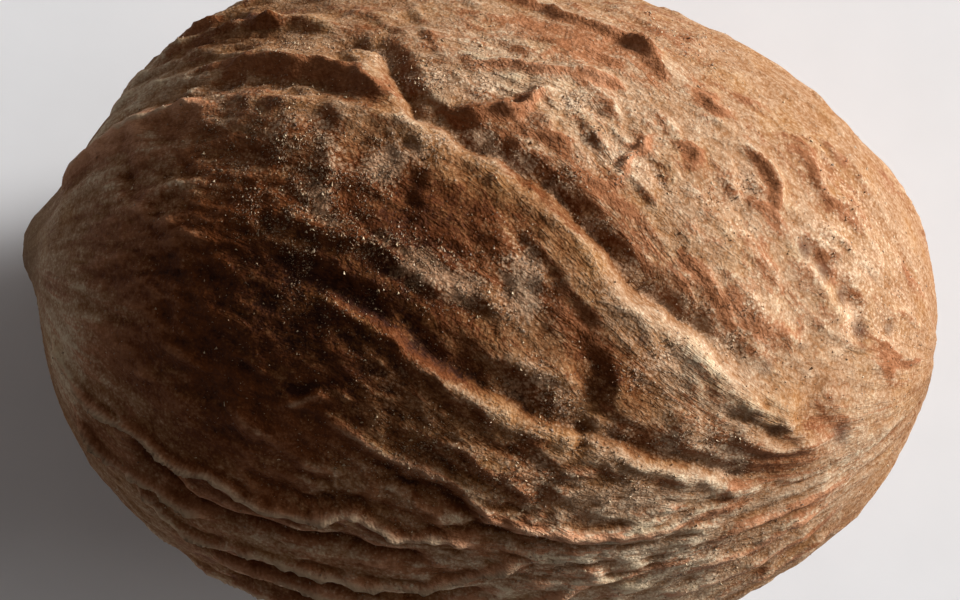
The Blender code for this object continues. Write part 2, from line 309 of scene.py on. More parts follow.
# %% Folds of the plateau and the blossom end
plateau_folds = {
    "long plateau fold": (0.28, 1, 0.24, 0.9, ((-1.5, 63), (0.4, 60), (1.8, 56), (3.2, 51.5), (3.8, 48),
        (4.2, 43))),
    "second plateau fold": (0.22, 0.5, 0.2, 0.9, ((-1.4, 42), (0.2, 42), (1.2, 41.3), (1.9, 42.3),
        (2.6, 42), (3.3, 40.3))),
    "curl": (0.19, 0.4, 0.2, 0.85, ((5.1, 47), (5.2, 44), (5.4, 41.5), (6.2, 42))),
    "overhang": (0.42, 0.45, 0.3, 0.8, ((-1.7, 31), (-0.4, 31.8), (0.3, 32.3), (0.8, 35.5), (1.6, 37))),
    "bright lump": (0.18, 0.45, 0.45, 0.3, ((0.4, 31), (0.9, 31), (1.4, 30.5))),
    "step under the lump": (0.17, 0.55, 0.2, 0.85, ((-0.1, 29), (0.8, 28.2), (2, 28))),
    "plateau hollow": (-0.08, 0.5, 0.5, 0.4, ((1.9, 37), (2.3, 35.5), (2.6, 34))),
    "beside the hollow": (0.18, 0.22, 0.26, 0.85, ((2.5, 38.5), (2.6, 36.5), (2.8, 34), (3.2, 33))),
    "loop": (0.2, 0.22, 0.24, 0.85, ((1.9, 23.8), (2.4, 22), (2.8, 22), (3, 24), (3.1, 26.8), (3.5, 28.5),
        (3.7, 32), (4.3, 33))),
    "inside the loop": (-0.08, 0.4, 0.4, 0.4, ((2.1, 25.5), (2.6, 25), (2.8, 26.5), (2.8, 29.5))),
    "hook": (0.17, 0.35, 0.2, 0.9, ((4.3, 32), (4.9, 31.8), (5, 29.5), (4.6, 28))),
    "long hook": (0.24, 0.45, 0.32, 0.75, ((5.3, 34), (6.2, 34.5), (6.8, 33.5), (7.1, 30), (7.2, 26),
        (7.1, 21))),
    "hook hollow": (-0.14, 0.45, 0.45, 0.3, ((5.9, 31.5), (6.3, 29), (6.4, 25), (6.2, 20))),
    "upper right fold": (0.17, 0.7, 0.4, 0.65, ((6.9, 46), (7.8, 42), (8.3, 36), (8.6, 31), (9.3, 29))),
    "right furrow": (-0.15, 0.45, 0.5, 0.4, ((7.8, 23), (8.3, 18.5), (9.1, 13.5), (9.7, 8), (10, 1),
        (9.9, -5))),
    "right ridge": (0.17, 0.5, 0.5, 0.5, ((7.5, 24), (7.8, 17), (8.6, 10.5), (9.2, 4), (9.3, -2))),
    "low step": (0.12, 0.6, 0.6, 0.6, ((5.8, 12), (6.6, 6), (7.3, 0))),
    "right pad": (0.18, 0.9, 0.8, 0.4, ((7.4, -10), (8.1, -17), (8.8, -25), (9, -33))),
    "beside the pad": (-0.09, 0.45, 0.45, 0.4, ((8.4, -10), (9, -17), (9.7, -24), (9.8, -31))),
    "neck hollow": (-0.42, 1.7, 1.7, 0.2, ((-11.9, 75), (-11.6, 57), (-11.3, 44))),
    "cheek": (-0.38, 2.4, 2.4, 0.1, ((-4.8, 88), (-7, 88), (-9.5, 87), (-11.4, 80), (-12.4, 62),
        (-12.7, 40))),
    "upper slope": (-0.44, 2.2, 2.2, 0.1, ((1.8, 90), (4, 90), (6, 89), (8.2, 86), (10, 80), (11, 74))),
    "lower slope": (-0.48, 2.2, 2.2, 0.1, ((8.2, -92), (10, -90), (11.6, -88), (12.4, -80), (12.7, -40))),
    "blossom ridge one": (0.16, 0.4, 0.4, 0.8, ((5.6, -43), (7.2, -42), (8.8, -39), (10.2, -36))),
    "blossom ridge two": (0.18, 0.4, 0.4, 0.8, ((5.2, -50), (7, -49), (8.6, -45), (10, -41))),
    "blossom ridge three": (0.18, 0.45, 0.45, 0.8, ((4.8, -58), (6.6, -57), (8.6, -53), (10.2, -47))),
    "blossom ridge four": (0.2, 0.45, 0.45, 0.8, ((4.6, -66), (6.8, -65), (8.8, -61), (10.4, -54))),
}

# %% [markdown]
# Nobody sees the underside, but the part is judged from all round, so it is folded too. A
# nutmeg has no fixed pattern there, so a loop draws creases that sway by chance. Each starts
# and ends at a place of its own, because creases that all begin in a row look like a comb.

# %% Folds of the underside
underside_seed = 11
underside_creases = 23
underside_from, underside_to = 86.0, 280.0      # degrees around the kernel
underside_starts = (-11.0, -4.5)    # millimetres along the kernel
underside_ends = (1.0, 10.5)
underside_depths = (0.10, 0.30)
underside_places = 7        # places that each crease is drawn through
underside_spacing = 0.3     # how unevenly the creases are spaced, in gaps
underside_sway = (1.0, 3.0)     # degrees that a crease sways to either side
sway_pace = 0.42            # radians of sway per millimetre
underside_stray = 1.2       # degrees that each place strays besides
crease_banks = (0.6, 0.8, 0.5)      # upper reach, lower reach and sharpness
ridge_banks = (0.9, 0.5, 0.7)
ridge_beside = 0.45         # how far the ridge lies from its crease, in gaps
ridge_share = 0.8           # its height as a share of the crease's depth


def underside_folds():
    """Creases with a ridge beside each, wandering towards the blossom end."""
    chance = random.Random(underside_seed)
    gap = (underside_to - underside_from) / (underside_creases - 1)
    folds = []
    for number in range(underside_creases):
        middle = underside_from + (number + chance.uniform(-underside_spacing, underside_spacing)) * gap
        sway = chance.uniform(*underside_sway)
        phase = chance.uniform(0.0, math.tau)
        depth = chance.uniform(*underside_depths)
        start = chance.uniform(*underside_starts)
        end = chance.uniform(*underside_ends)
        crease = []
        for place in np.linspace(start, end, underside_places):
            stray = chance.uniform(-underside_stray, underside_stray)
            crease.append((float(place), middle + (sway * math.sin(sway_pace * place + phase) + stray)))
        ridge = [(place, turn + ridge_beside * gap) for place, turn in crease]
        folds.append((-depth, *crease_banks, crease))
        folds.append((ridge_share * depth, *ridge_banks, ridge))
    return folds


all_folds = [*great_folds.values(), *belly_folds.values(), *flank_folds.values(),
             *plateau_folds.values(), *underside_folds()]
print("folds:", len(all_folds))

# %% [markdown]
# ## Wrinkles
#
# Between the folds the skin is drawn into wrinkles that run the same way as the folds. Chance
# alone has no direction. So the skin is first **combed**: a few guide lines that follow
# the folds are straightened out, and everything between them goes along. Noise that is
# stretched lengthwise on the combed skin then follows the folds on the real one. Each guide
# line has a **level**, which is the angle at which it runs once it is straight.

# %% Comb the skin straight
guide_lines = {
    -180: ((-13, -180), (13, -180)),
    -100: ((-13, -95), (0, -102), (13, -90)),
    -60: ((-13, -55), (-8, -57), (-4, -54), (0, -52), (4, -52), (9, -46), (13, -40)),
    -40: ((-13, -33), (-9, -36), (-6, -40), (0, -42), (5, -43), (9, -39), (13, -33)),
    -25: ((-13, -14), (-8, -18), (-3, -23), (0, -31), (3, -37.5), (7, -34), (13, -28)),
    -5: ((-13, 4), (-8, 4), (-4, -2), (-1, -12), (2, -19), (6, -28.5), (9, -30), (13, -24)),
    25: ((-13, 42), (-9, 35.5), (-5, 32), (-1, 26), (2, 14), (5, 0), (8, -14), (13, -18)),
    50: ((-13, 68), (-8, 57), (-4, 50), (2, 45), (7, 36), (10, 26), (13, 10)),
    90: ((-13, 92), (0, 86), (13, 80)),
    180: ((-13, 180), (13, 180)),
}
guide_levels = sorted(guide_lines)
combed_radius = 9.0


def guide_turns(place):
    """The angles around the kernel at which the guide lines cross a place along it."""
    return [np.interp(place, *zip(*guide_lines[level])) for level in guide_levels]


def comb(along, around):
    """Places on a straight drum on which every guide line runs straight."""
    guides = guide_turns(along)
    straight = np.zeros(len(along))
    for low, high, lower, upper in zip(guide_levels, guide_levels[1:], guides, guides[1:]):
        between = (around >= lower) & (around <= upper)
        share = (around[between] - lower[between]) / (upper[between] - lower[between])
        straight[between] = low + share * (high - low)
    turn = np.radians(straight)
    return np.stack([along, combed_radius * np.sin(turn), combed_radius * np.cos(turn)], axis=1)


combed = comb(along, around)
print("combed skin reaches from", np.round(combed.min(axis=0), 1), "to", np.round(combed.max(axis=0), 1))

# %% [markdown]
# Short wrinkles fill the skin between the drawn folds. Each starts at a chance place, runs with
# the folds for a millimetre or two, and has one steep bank. Combing backwards tells which way
# the folds run there. On the plateau, where the skin is thickest, they stand higher. The hidden
# side has fewer folds, so its wrinkles are longer and higher to fill it.

# %% Short wrinkles between the folds
wrinkle_starts = (-11.5, 10.5)      # millimetres along the kernel
wrinkle_lengths = (0.7, 2.4)
wrinkle_heights = (0.035, 0.090)
wrinkle_shares = (0.0, 0.33, 0.67, 1.0)     # where along itself a wrinkle is drawn
wrinkle_slant = 3.5         # degrees that it turns away from the folds, by chance
wrinkle_bow = 2.0           # degrees that its middle bows out
wrinkle_uppers = (0.25, 0.50)       # reaches of the upper and the lower bank
wrinkle_lowers = (0.16, 0.30)
wrinkle_sharpness = (0.6, 0.95)
plateau_levels = (28.0, 80.0)
plateau_lift = 1.7
plateau_slant = 1.6
belly_levels = (-5.0, 24.0)
belly_from = -8.0           # the belly begins at this place along the kernel
belly_share = 0.6           # how high its wrinkles are, compared with others
blossom_from = 4.5          # the same for the blossom end
blossom_wrinkles = 0.8
crease_share = 0.25         # how many are creases instead of ridges
crease_depth = -0.35        # and how deep, as a share of a ridge's height


def turn_at(place, level):
    """The angle around the kernel where a combed level lies."""
    return float(np.interp(level, guide_levels, guide_turns(place)))


def short_wrinkles(seed, count, levels, everywhere, strength):
    """Short ridges and creases that run with the folds, some of them anywhere on the skin."""
    chance = random.Random(seed)
    wrinkles = []
    for _ in range(count):
        start = chance.uniform(*wrinkle_starts)
        anywhere = chance.random() < everywhere
        level = chance.uniform(-180.0, 180.0) if anywhere else chance.uniform(*levels)
        level = level - 360.0 if level > 180.0 else level
        length = chance.uniform(*wrinkle_lengths) * math.sqrt(strength)
        slant = chance.gauss(0.0, wrinkle_slant)
        bow = chance.gauss(0.0, wrinkle_bow)
        height = chance.uniform(*wrinkle_heights) * strength
        if plateau_levels[0] < level < plateau_levels[1]:
            height *= plateau_lift
            slant *= plateau_slant
        if belly_levels[0] < level < belly_levels[1] and start > belly_from:
            height *= belly_share
        if start > blossom_from:
            height *= blossom_wrinkles
        if chance.random() < crease_share:
            height *= crease_depth
        course = []
        for share in wrinkle_shares:
            place = start + share * length
            drift = slant * (share - 0.5) + bow * math.sin(math.pi * share)
            course.append((place, turn_at(place, level) + drift))
        wrinkles.append((height, chance.uniform(*wrinkle_uppers), chance.uniform(*wrinkle_lowers),
                         chance.uniform(*wrinkle_sharpness), course))
    return wrinkles


all_folds += short_wrinkles(seed=23, count=620, levels=(-70.0, 80.0), everywhere=0.35, strength=1.0)
all_folds += short_wrinkles(seed=31, count=420, levels=(78.0, 285.0), everywhere=0.0, strength=1.9)
print("folds and wrinkles:", len(all_folds))

# %% [markdown]
# Drawn lines look ruled. Before the folds are measured, every point of the skin is nudged a
# little by smooth noise, so the folds waver as if they had dried. More noise makes each fold
# higher in one place and lower in the next.

# %% Press all the folds
waver_size = 0.16           # how far a fold strays, in millimetres
waver_grain = 0.9           # how often it does so, per millimetre
flutter_size = 0.07         # the same for a second, quicker waver
flutter_grain = 2.3
patch_grain = 0.9           # how often a fold gets higher and lower
patch_depth = 0.45
patch_limits = (0.6, 1.4)


def waver(point):
    """A small smooth nudge that differs from place to place."""
    slow = noise.noise_vector(Vector(point) * waver_grain) * waver_size
    return slow + noise.noise_vector(Vector(point) * flutter_grain) * flutter_size


def layered_noise(places, share, grain, smoothness=0.9, layers=3, step=2.1, bend=0.0, bend_grain=1.0,
                  start=(0, 0, 0)):
    """Noise at every place, in layers that get finer by the step. Less smoothness lets the fine
    ones show. A share below 1 draws the noise out along the first direction, and a bend winds it."""
    values = []
    for place in places:
        shortened = Vector((place[0] * share, place[1], place[2]))
        bent = shortened + bend * noise.noise_vector(shortened * bend_grain + Vector(start))
        values.append(noise.fractal(bent * grain, smoothness, step, layers))
    return np.array(values)


wavering = bare + np.array([waver(point) for point in bare])
patchy = np.clip(1.0 + patch_depth * layered_noise(bare, 1.0, patch_grain), *patch_limits)
marks = {name: np.zeros(len(bare)) for name in ("relief", "worn", "edged")}
for fold in all_folds:
    press_fold(marks, wavering, *fold)
relief = marks["relief"]
print("folds reach from %.2f to %.2f mm" % (relief.min(), relief.max()))

# %% [markdown]
# The largest of the finer wrinkles are **scales**: flat patches with winding, crisp edges, one a
# little above the next, as if the skin were torn into layers. Smooth noise gives hills, and
# cutting the hills into terraces gives the scales. The edges are remembered, because they are
# steep and bare, and show the red brown under the dust.

# %% Terraced scales
scale_step = 0.060          # height from one scale to the next, in millimetres
scale_count = 5.5           # terraces from the lowest noise to the highest
scale_keenness = 3.2        # how steep their edges are
scale_edge_width = 0.62     # how wide the bare strip along an edge is
deepest_hill = -1.0         # hollows stop at this terrace


def ease(share):
    """0 to 1 with a soft start and a soft end."""
    share = np.clip(share, 0.0, 1.0)
    return share * share * (3.0 - 2.0 * share)


hills = scale_count * layered_noise(combed, 0.55, grain=0.62, smoothness=0.85, layers=4, step=2.15,
                                    bend=0.55, bend_grain=0.7, start=(7, 3, 5))
hills = np.maximum(hills, deepest_hill)
terrace = np.floor(hills)
from_edge = (hills - terrace - 0.5) * scale_keenness
scale_edge = np.exp(-(from_edge / scale_edge_width) ** 2)
scales = (terrace + ease(from_edge + 0.5)) * scale_step
print("scales from %.2f to %.2f mm" % (scales.min(), scales.max()))

# %% [markdown]
# Four other kinds are laid over them. **Lumps** are low soft swellings about a millimetre
# across. **Fibres** are long and narrow, and show where the skin is drawn tight. **Puckers** are
# short winding ridges, and **granules** are the gritty surface. Not every part of the skin is
# equally rough: the stalk side and the blossom end are smoother. Each such part is a soft
# **spot**: a place along, an angle around, a radius in millimetres, and an amount.

# %% Fibres, puckers and granules
fibre_height = 0.028        # heights in millimetres
pucker_height = 0.060
granule_height = 0.020
lump_height = 0.11
fibre_contrast = 2.0
pucker_contrast = 2.2
deepest_pucker = -0.45      # the valleys between puckers are flat from here down
rough_everywhere = 0.35
lumpy_everywhere = 0.3
scaly_everywhere = 0.10
loose_fibres = 0.30         # how much of the fibres shows where the skin isn't tight
smoother_end = 0.15         # how much smoother the blossom end is
unlike_fibres = (0.0, 40.0, 0.0)    # takes the lumps from another part of the noise
rough_spots = (
    (-3, 15, 7, 0.55), (-7, -10, 6, 0.4), (-3, -35, 6, 0.4), (-8, 40, 5, 0.3), (2, 40, 6, 0.45),
    (1, -10, 6, 0.4), (1, -40, 6, 0.4), (5, 10, 4, 0.25), (-2, 180, 10, 0.5),
)
lumpy_spots = ((-4, 48, 4, 0.4), (4, -50, 5, 0.6), (0, -20, 6, 0.5), (-9, 5, 6, 1.3), (-2, 180, 11, 0.5))
scaly_spots = (
    (2, 42, 6, 0.5), (6, 30, 5, 0.4), (8, -10, 6, 0.5), (9, 22, 5, 0.5), (1.5, -27, 2.5, 0.5),
    (-1, -21, 2.5, 0.4), (3, -50, 6, 0.7), (-2, 180, 11, 1.2), (-8, 60, 6, 0.8), (0, 5, 5, 0.15),
    (-8, 10, 5, 0.7),
)


def region(spots):
    """The sum of soft spots over the skin."""
    total = np.zeros(len(bare))
    for place, turn, radius, amount in spots:
        distance = np.linalg.norm(bare - skin_points(place, turn), axis=1)
        total += amount * ease(1.0 - distance / radius)
    return total


def blossom_share(start, length):
    """0 up to a place along the kernel, and from there up to 1 towards the blossom end."""
    return np.clip((along - start) / length, 0.0, 1.0)


# The size of noise has sharp valleys where the noise is zero, so 1 minus it has sharp ridges.
fibres = 1.0 - fibre_contrast * np.abs(layered_noise(combed, 0.20, grain=1.6))
winding = layered_noise(combed, 0.50, grain=1.25, smoothness=0.75, bend=0.40, bend_grain=1.1)
puckers = np.maximum(1.0 - pucker_contrast * np.abs(winding), deepest_pucker)
granules = layered_noise(bare, 1.0, grain=3.0, smoothness=0.4, layers=2, step=2.0)
lumps = layered_noise(combed + unlike_fibres, 0.60, grain=0.85)
calmer = smoother_end * ease(blossom_share(start=4.0, length=5.0))
coarseness = np.clip(rough_everywhere + region(rough_spots) - calmer, 0.0, 1.0)
scaliness = scaly_everywhere + region(scaly_spots)
tightness = blossom_share(start=3.0, length=6.0)
relief += scales * scaliness
relief += lump_height * lumps * (lumpy_everywhere + region(lumpy_spots))
relief += fibre_height * fibres * (loose_fibres + (1.0 - loose_fibres) * tightness)
relief += pucker_height * puckers * coarseness * (1.0 - 0.5 * tightness)
relief += granule_height * granules * coarseness
print("with wrinkles the relief reaches from %.2f to %.2f mm" % (relief.min(), relief.max()))

# %% [markdown]
# ## The stalk nub and the resting spot
#
# The stalk leaves a small round nub. Underneath, the lowest skin is worn to a flat spot a few
# millimetres across, so that the nutmeg doesn't roll. The skin is calm around the spot, and
# a later cut makes it flat.

# %% Raise the nub, calm the underside and shape the skin
nub_height = 0.72           # measures in millimetres
nub_radius = 1.15
nub_y = 0.5
nub_edge = 3.2              # how abruptly the nub rises
calm_inner = 2.2            # the skin is quite smooth up to here from the spot's middle
calm_outer = 5.5            # and fully folded from here
from_spot = np.hypot(bare[:, 0], bare[:, 1])
calm = np.where(bare[:, 2] < 0.0, ease((from_spot - calm_inner) / (calm_outer - calm_inner)), 1.0)
relief *= calm
shaped = bare + outwards * relief[:, None]
from_nub = np.hypot(bare[:, 1] - nub_y, bare[:, 2])
nub_push = np.where(bare[:, 0] < 0.0, nub_height / (1.0 + (from_nub / nub_radius) ** nub_edge), 0.0)
shaped[:, 0] -= nub_push
print("nub stands out %.2f mm" % nub_push.max())

# %% [markdown]
# ## What the colours need to know
#
# Crests get a painted highlight and hollows painted shade, while dust keeps off the crests. So
# each point is compared with the average of its surroundings: once close by, for the fine
# wrinkles, and once further out, for the folds.
# The results are stored on the mesh as named attributes, which the material reads.

# %% Measure crests and hollows
fine_rounds = 10
broad_rounds = 160
full_crest = 0.05           # millimetres above the near average that count as a full crest
full_rise = 0.30            # and above the far one
edge_counts = np.bincount(edge_start, minlength=len(bare)) + np.bincount(edge_end, minlength=len(bare))


def gather(at_start, at_end):
    """The sum, at every point, of what its edges bring to their starts and their ends."""
    return np.bincount(edge_start, at_start, len(bare)) + np.bincount(edge_end, at_end, len(bare))


def average_around(values, rounds):
    """Each value becomes more and more like its neighbours'."""
    for _ in range(rounds):
        values = 0.5 * values + 0.5 * gather(values[edge_end], values[edge_start]) / edge_counts
    return values


near_average = average_around(relief, fine_rounds)
far_average = average_around(relief, broad_rounds)
crest = np.clip((relief - near_average) / full_crest, -1.0, 1.0)
rise = np.clip((near_average - far_average) / full_rise, -1.0, 1.0)
print("fine crests: %.2f   broad crests: %.2f (average size)" % (np.abs(crest).mean(), np.abs(rise).mean()))

# %% [markdown]
# Dust slides off steep banks. The banks that face away from the window, towards the stalk end
# and the flank, are shown bare red brown as well: partly bare skin, partly painted shade on the
# side away from the light. How steep the skin is, and which way it slopes, follows from how much
# the relief changes from each point to its neighbours. Steep banks and scale edges together are
# the bare places.

# %% Find the bare banks and the banks that face away from the window
steep_from = 0.45           # slope at which dust begins to slide
steep_to = 1.0              # slope at which all of it is gone
away_bank_slope = 0.38         # slope at which a bank facing away from the window is quite bare red brown, partly painted shade
bare_edges = 0.75           # how bare the edges of the scales are
bank_rounds = 2             # rounds of averaging that leave out the finest grit
# The window's direction across the skin; banks that rise towards it face away from the light.
towards_window = np.array([0.87, 0.49, 0.0])


def slopes_of(heights):
    """How fast the relief rises at each point, as a direction in millimetres per millimetre."""
    run = bare[edge_end] - bare[edge_start]
    climb = (heights[edge_end] - heights[edge_start]) / np.einsum("ij,ij->i", run, run)
    climbs = climb[:, None] * run
    return np.stack([gather(climbs[:, axis], climbs[:, axis]) for axis in range(3)], axis=1) / 2.0


rising = slopes_of(average_around(relief, bank_rounds))
# Banks that face away from the window are painted bare red brown: partly bare skin, partly painted shade.
faces_away_from_window = average_around(ease(rising @ towards_window / away_bank_slope), bank_rounds)
steep = ease((np.linalg.norm(rising, axis=1) - steep_from) / (steep_to - steep_from))
scarp = np.clip(steep + bare_edges * scale_edge * np.clip(scaliness, 0.0, 1.0), 0.0, 1.0)
print("bare share of the skin: %.2f, rubbed share: %.2f" % ((scarp > 0.5).mean(), (faces_away_from_window > 0.5).mean()))

# %% [markdown]
# The skin has broad regions of colour as well. The blossom end and the top are pale ochre, the
# belly is brown, and the hollow below it and the stalk side are a deep red brown. Red spots with
# an amount below zero keep red away, as along the keel. On the shaded side, painted shade darkens
# the hollows and a painted highlight lightens the crests, so light and dark follow the folds more
# strongly. A few dark spots in hollows and a red spot under the overhang are painted shade.
# The nub's end is grey.

# %% Regions of colour
paleness_everywhere = 0.66
# The darker spot just under the overhang, at -0.6 along and 29.6 around, is painted shade.
paleness_spots = (
    (8.5, 15, 7, 0.13), (8.3, -20, 3, -0.22), (5, -52, 5, 0.16), (-11, 45, 3, 0.18), (-8, 58, 3, -0.2),
    (-11, -22, 3, 0.22), (2, 45, 6, 0.15), (7, 40, 4, 0.06), (-2, 16, 2, -0.03), (3.6, -9, 1.5, -0.22),
    (1.5, -18, 1.6, -0.1), (-0.5, 5, 1.8, 0.1), (5.2, -6, 1.4, 0.14), (4, -22, 2, -0.08),
    (9.3, -20, 2, 0.1), (1.6, 15, 1.5, -0.08), (3, 58, 3, -0.04), (-3, -48, 6, 0.12),
    (-11.6, -35, 2.4, 0.42), (5, -40, 3, 0.04), (-1, -26, 4, -0.05), (9.4, -40, 2.5, 0.08),
    (5.5, -62, 3, 0.1), (10.3, -32, 2.5, 0.08), (-7.8, -42, 3, 0.05), (-6, -3, 3, -0.06),
    (-0.6, 29.6, 1.2, -0.25), (3.2, 27, 1, 0.22), (1.2, 18, 1.8, -0.08), (2.6, 8, 1.8, -0.08),
    (-2.2, 29, 1.4, 0.14), (-7, 56, 3, -0.08), (8, 40, 4, -0.08), (8.6, -21, 2.5, -0.08),
    (3.8, -12, 1.8, -0.1), (9.3, -3, 3, -0.06), (1, 46, 1.8, -0.12), (-9, 70, 6, 0.1), (10, 180, 8, 0.12),
    (-12.5, 0, 3, 0.2), (-2, 12, 6, -0.24), (-1.5, 11, 2.5, -0.1), (2.4, -8, 2, -0.15),
    (2.5, -60, 6.5, 0.45), (0, 38, 4, 0.16), (-0.5, 29, 1.5, 0.12), (8, -15, 6, 0.1), (-10, 38, 5, 0.2),
    (-9, -45, 5, 0.1), (8, -30, 4, 0.1), (-5.5, -2, 5, -0.28), (-2, -9, 4.5, -0.2), (-7, -30, 4, -0.1),
    (-7, -20, 6, -0.16), (-8, 15, 5, -0.08), (-1, -35, 6, -0.08), (-5, 200, 9, -0.12),
)
# The red spot just under the overhang, at -0.9 along and 29.6 around, is painted shade.
red_spots = (
    (1.7, 52, 1.6, 0.9), (0.2, 54, 1.3, 0.6), (2.9, 49.5, 0.9, 0.6), (3.6, 46, 0.7, 0.6),
    (1.2, 40.2, 0.8, 0.5), (2.5, 39.8, 0.7, 0.6), (5.2, 42, 0.8, 0.6), (5.1, 46.5, 0.7, 0.5),
    (-0.9, 29.6, 1, 0.9), (0, 28.4, 0.6, 0.4), (2.6, 20.5, 0.9, 0.6), (3.4, 15.5, 1.1, 0.7),
    (4, 11, 0.9, 0.6), (4.7, 8, 0.9, 0.6), (6, 4, 1.1, 0.4), (7.1, -1, 1, 0.4), (3.5, 29, 0.7, 0.5),
    (4.8, 29.5, 0.8, 0.6), (7, 27, 0.8, 0.7), (7.1, 23, 0.7, 0.6), (8.1, 40, 1.2, 0.5), (9.3, 31, 1.3, 0.5),
    (5.4, 17, 1.1, 0.4), (-2.2, 13.5, 0.9, 0.8), (-1.3, 8, 1, 0.7), (0.6, 13, 1.3, 0.6),
    (1.8, 14, 0.8, 0.6), (-4, 16, 1.2, 0.4), (-3.4, 28.5, 0.9, 0.6), (1.9, 1, 1.2, 0.7),
    (2.4, -5, 1.4, 0.6), (-1.4, -2, 1.2, 0.6), (-3, 1, 1.5, 0.5), (9.2, -20, 1.8, 0.6),
    (8.2, -28, 1.5, 0.3), (-9.8, -34, 3.2, 1), (-7.6, -36, 2.5, 0.4), (5.8, -12, 1.1, 0.5),
    (7.2, -24, 1.2, 0.5), (3.6, -1, 1, 0.4), (-6, -12, 6, 0.8), (-9, 10, 5, 0.6), (-7, 25, 4, 0.5),
    (-9.5, -20, 5, 0.5), (1, 46, 1.4, 0.4), (-1.5, 12, 4, 0.7), (0.4, 14, 3, 0.8), (-4.6, 14, 3, 0.5),
    (-2.2, 17, 2.5, 0.6), (-6, -42, 6, 0.8), (0, -45, 5, 0.5), (1, -33, 2, 0.3), (-4, 52, 2, 0.4),
    (-8, 52, 2, 0.3), (-2.8, 29, 1.4, -1.2), (-1.3, 23.5, 1.4, -1.6), (0.3, 19, 1.4, -1.6),
    (1.6, 13.5, 1.4, -1.6), (2.7, 7, 1.4, -1.4), (3.7, 1.5, 1.4, -1.4), (5, -3, 1.4, -1.4),
    (6.4, -9.5, 1.5, -1.4), (7.5, -15, 1.5, -1.2), (0.7, -16.5, 1.1, -0.9), (2.4, -20, 1.1, -1),
    (4, -23.5, 1.1, -1), (6, -28.5, 1.2, -1),
)
# The dark spots along the right furrow, in the hook hollow and beside the pad are partly painted shade in
# those hollows.
dark_spots = (
    (7.3, -6, 0.5, 0.5), (7, -15, 0.5, 0.6), (7.6, -18, 0.45, 0.6), (9.7, -23, 0.7, 0.7),
    (8.1, 18, 0.7, 0.7), (8.7, 14.5, 0.6, 0.7), (9.3, 10, 0.6, 0.7), (9.9, 3, 0.6, 0.7),
    (10.8, 5, 0.5, 0.6), (6.4, 30, 0.5, 0.35), (6.6, 26.5, 0.5, 0.35), (6.5, 22.5, 0.45, 0.3),
    (4.6, 9.3, 0.4, 0.5), (3.9, -3, 0.35, 0.6), (10, -2, 0.4, 0.4), (8.2, -2.5, 0.3, 0.5),
)
shaded_spots = ((-11, 0, 6, 1), (-5, -50, 13, 1.4), (5, -60, 8, 1.2), (-10, 30, 5, 0.8), (-2, 180, 14, 0.8))
red_limits = (-1.6, 1.0)
stalk_tip = np.array([-13.0, 0.6, 0.0])     # millimetres from the kernel's middle
stalk_grey_radius = 3.2

paleness = np.clip(paleness_everywhere + region(paleness_spots), 0.0, 1.0)
reddish = np.clip(region(red_spots), *red_limits)
darkened = np.clip(region(dark_spots), 0.0, 1.0)
shaded_side = np.clip(region(shaded_spots), 0.0, 1.0)
stalk_grey = ease(1.0 - np.linalg.norm(shaped - stalk_tip, axis=1) / stalk_grey_radius)
print("paleness from %.2f to %.2f" % (paleness.min(), paleness.max()))

# %% [markdown]
# Ground spice and shell dust lie on the nutmeg as patches of grey tan dust, and as loose crumbs
# where the skin faces up: on the belly, in the furrows and on the plateau. The stalk side has
# been handled most, and is nearly bare. Crumbs lie wherever the dust is thick, and in a few
# places of their own, but hardly at the tight blossom end.

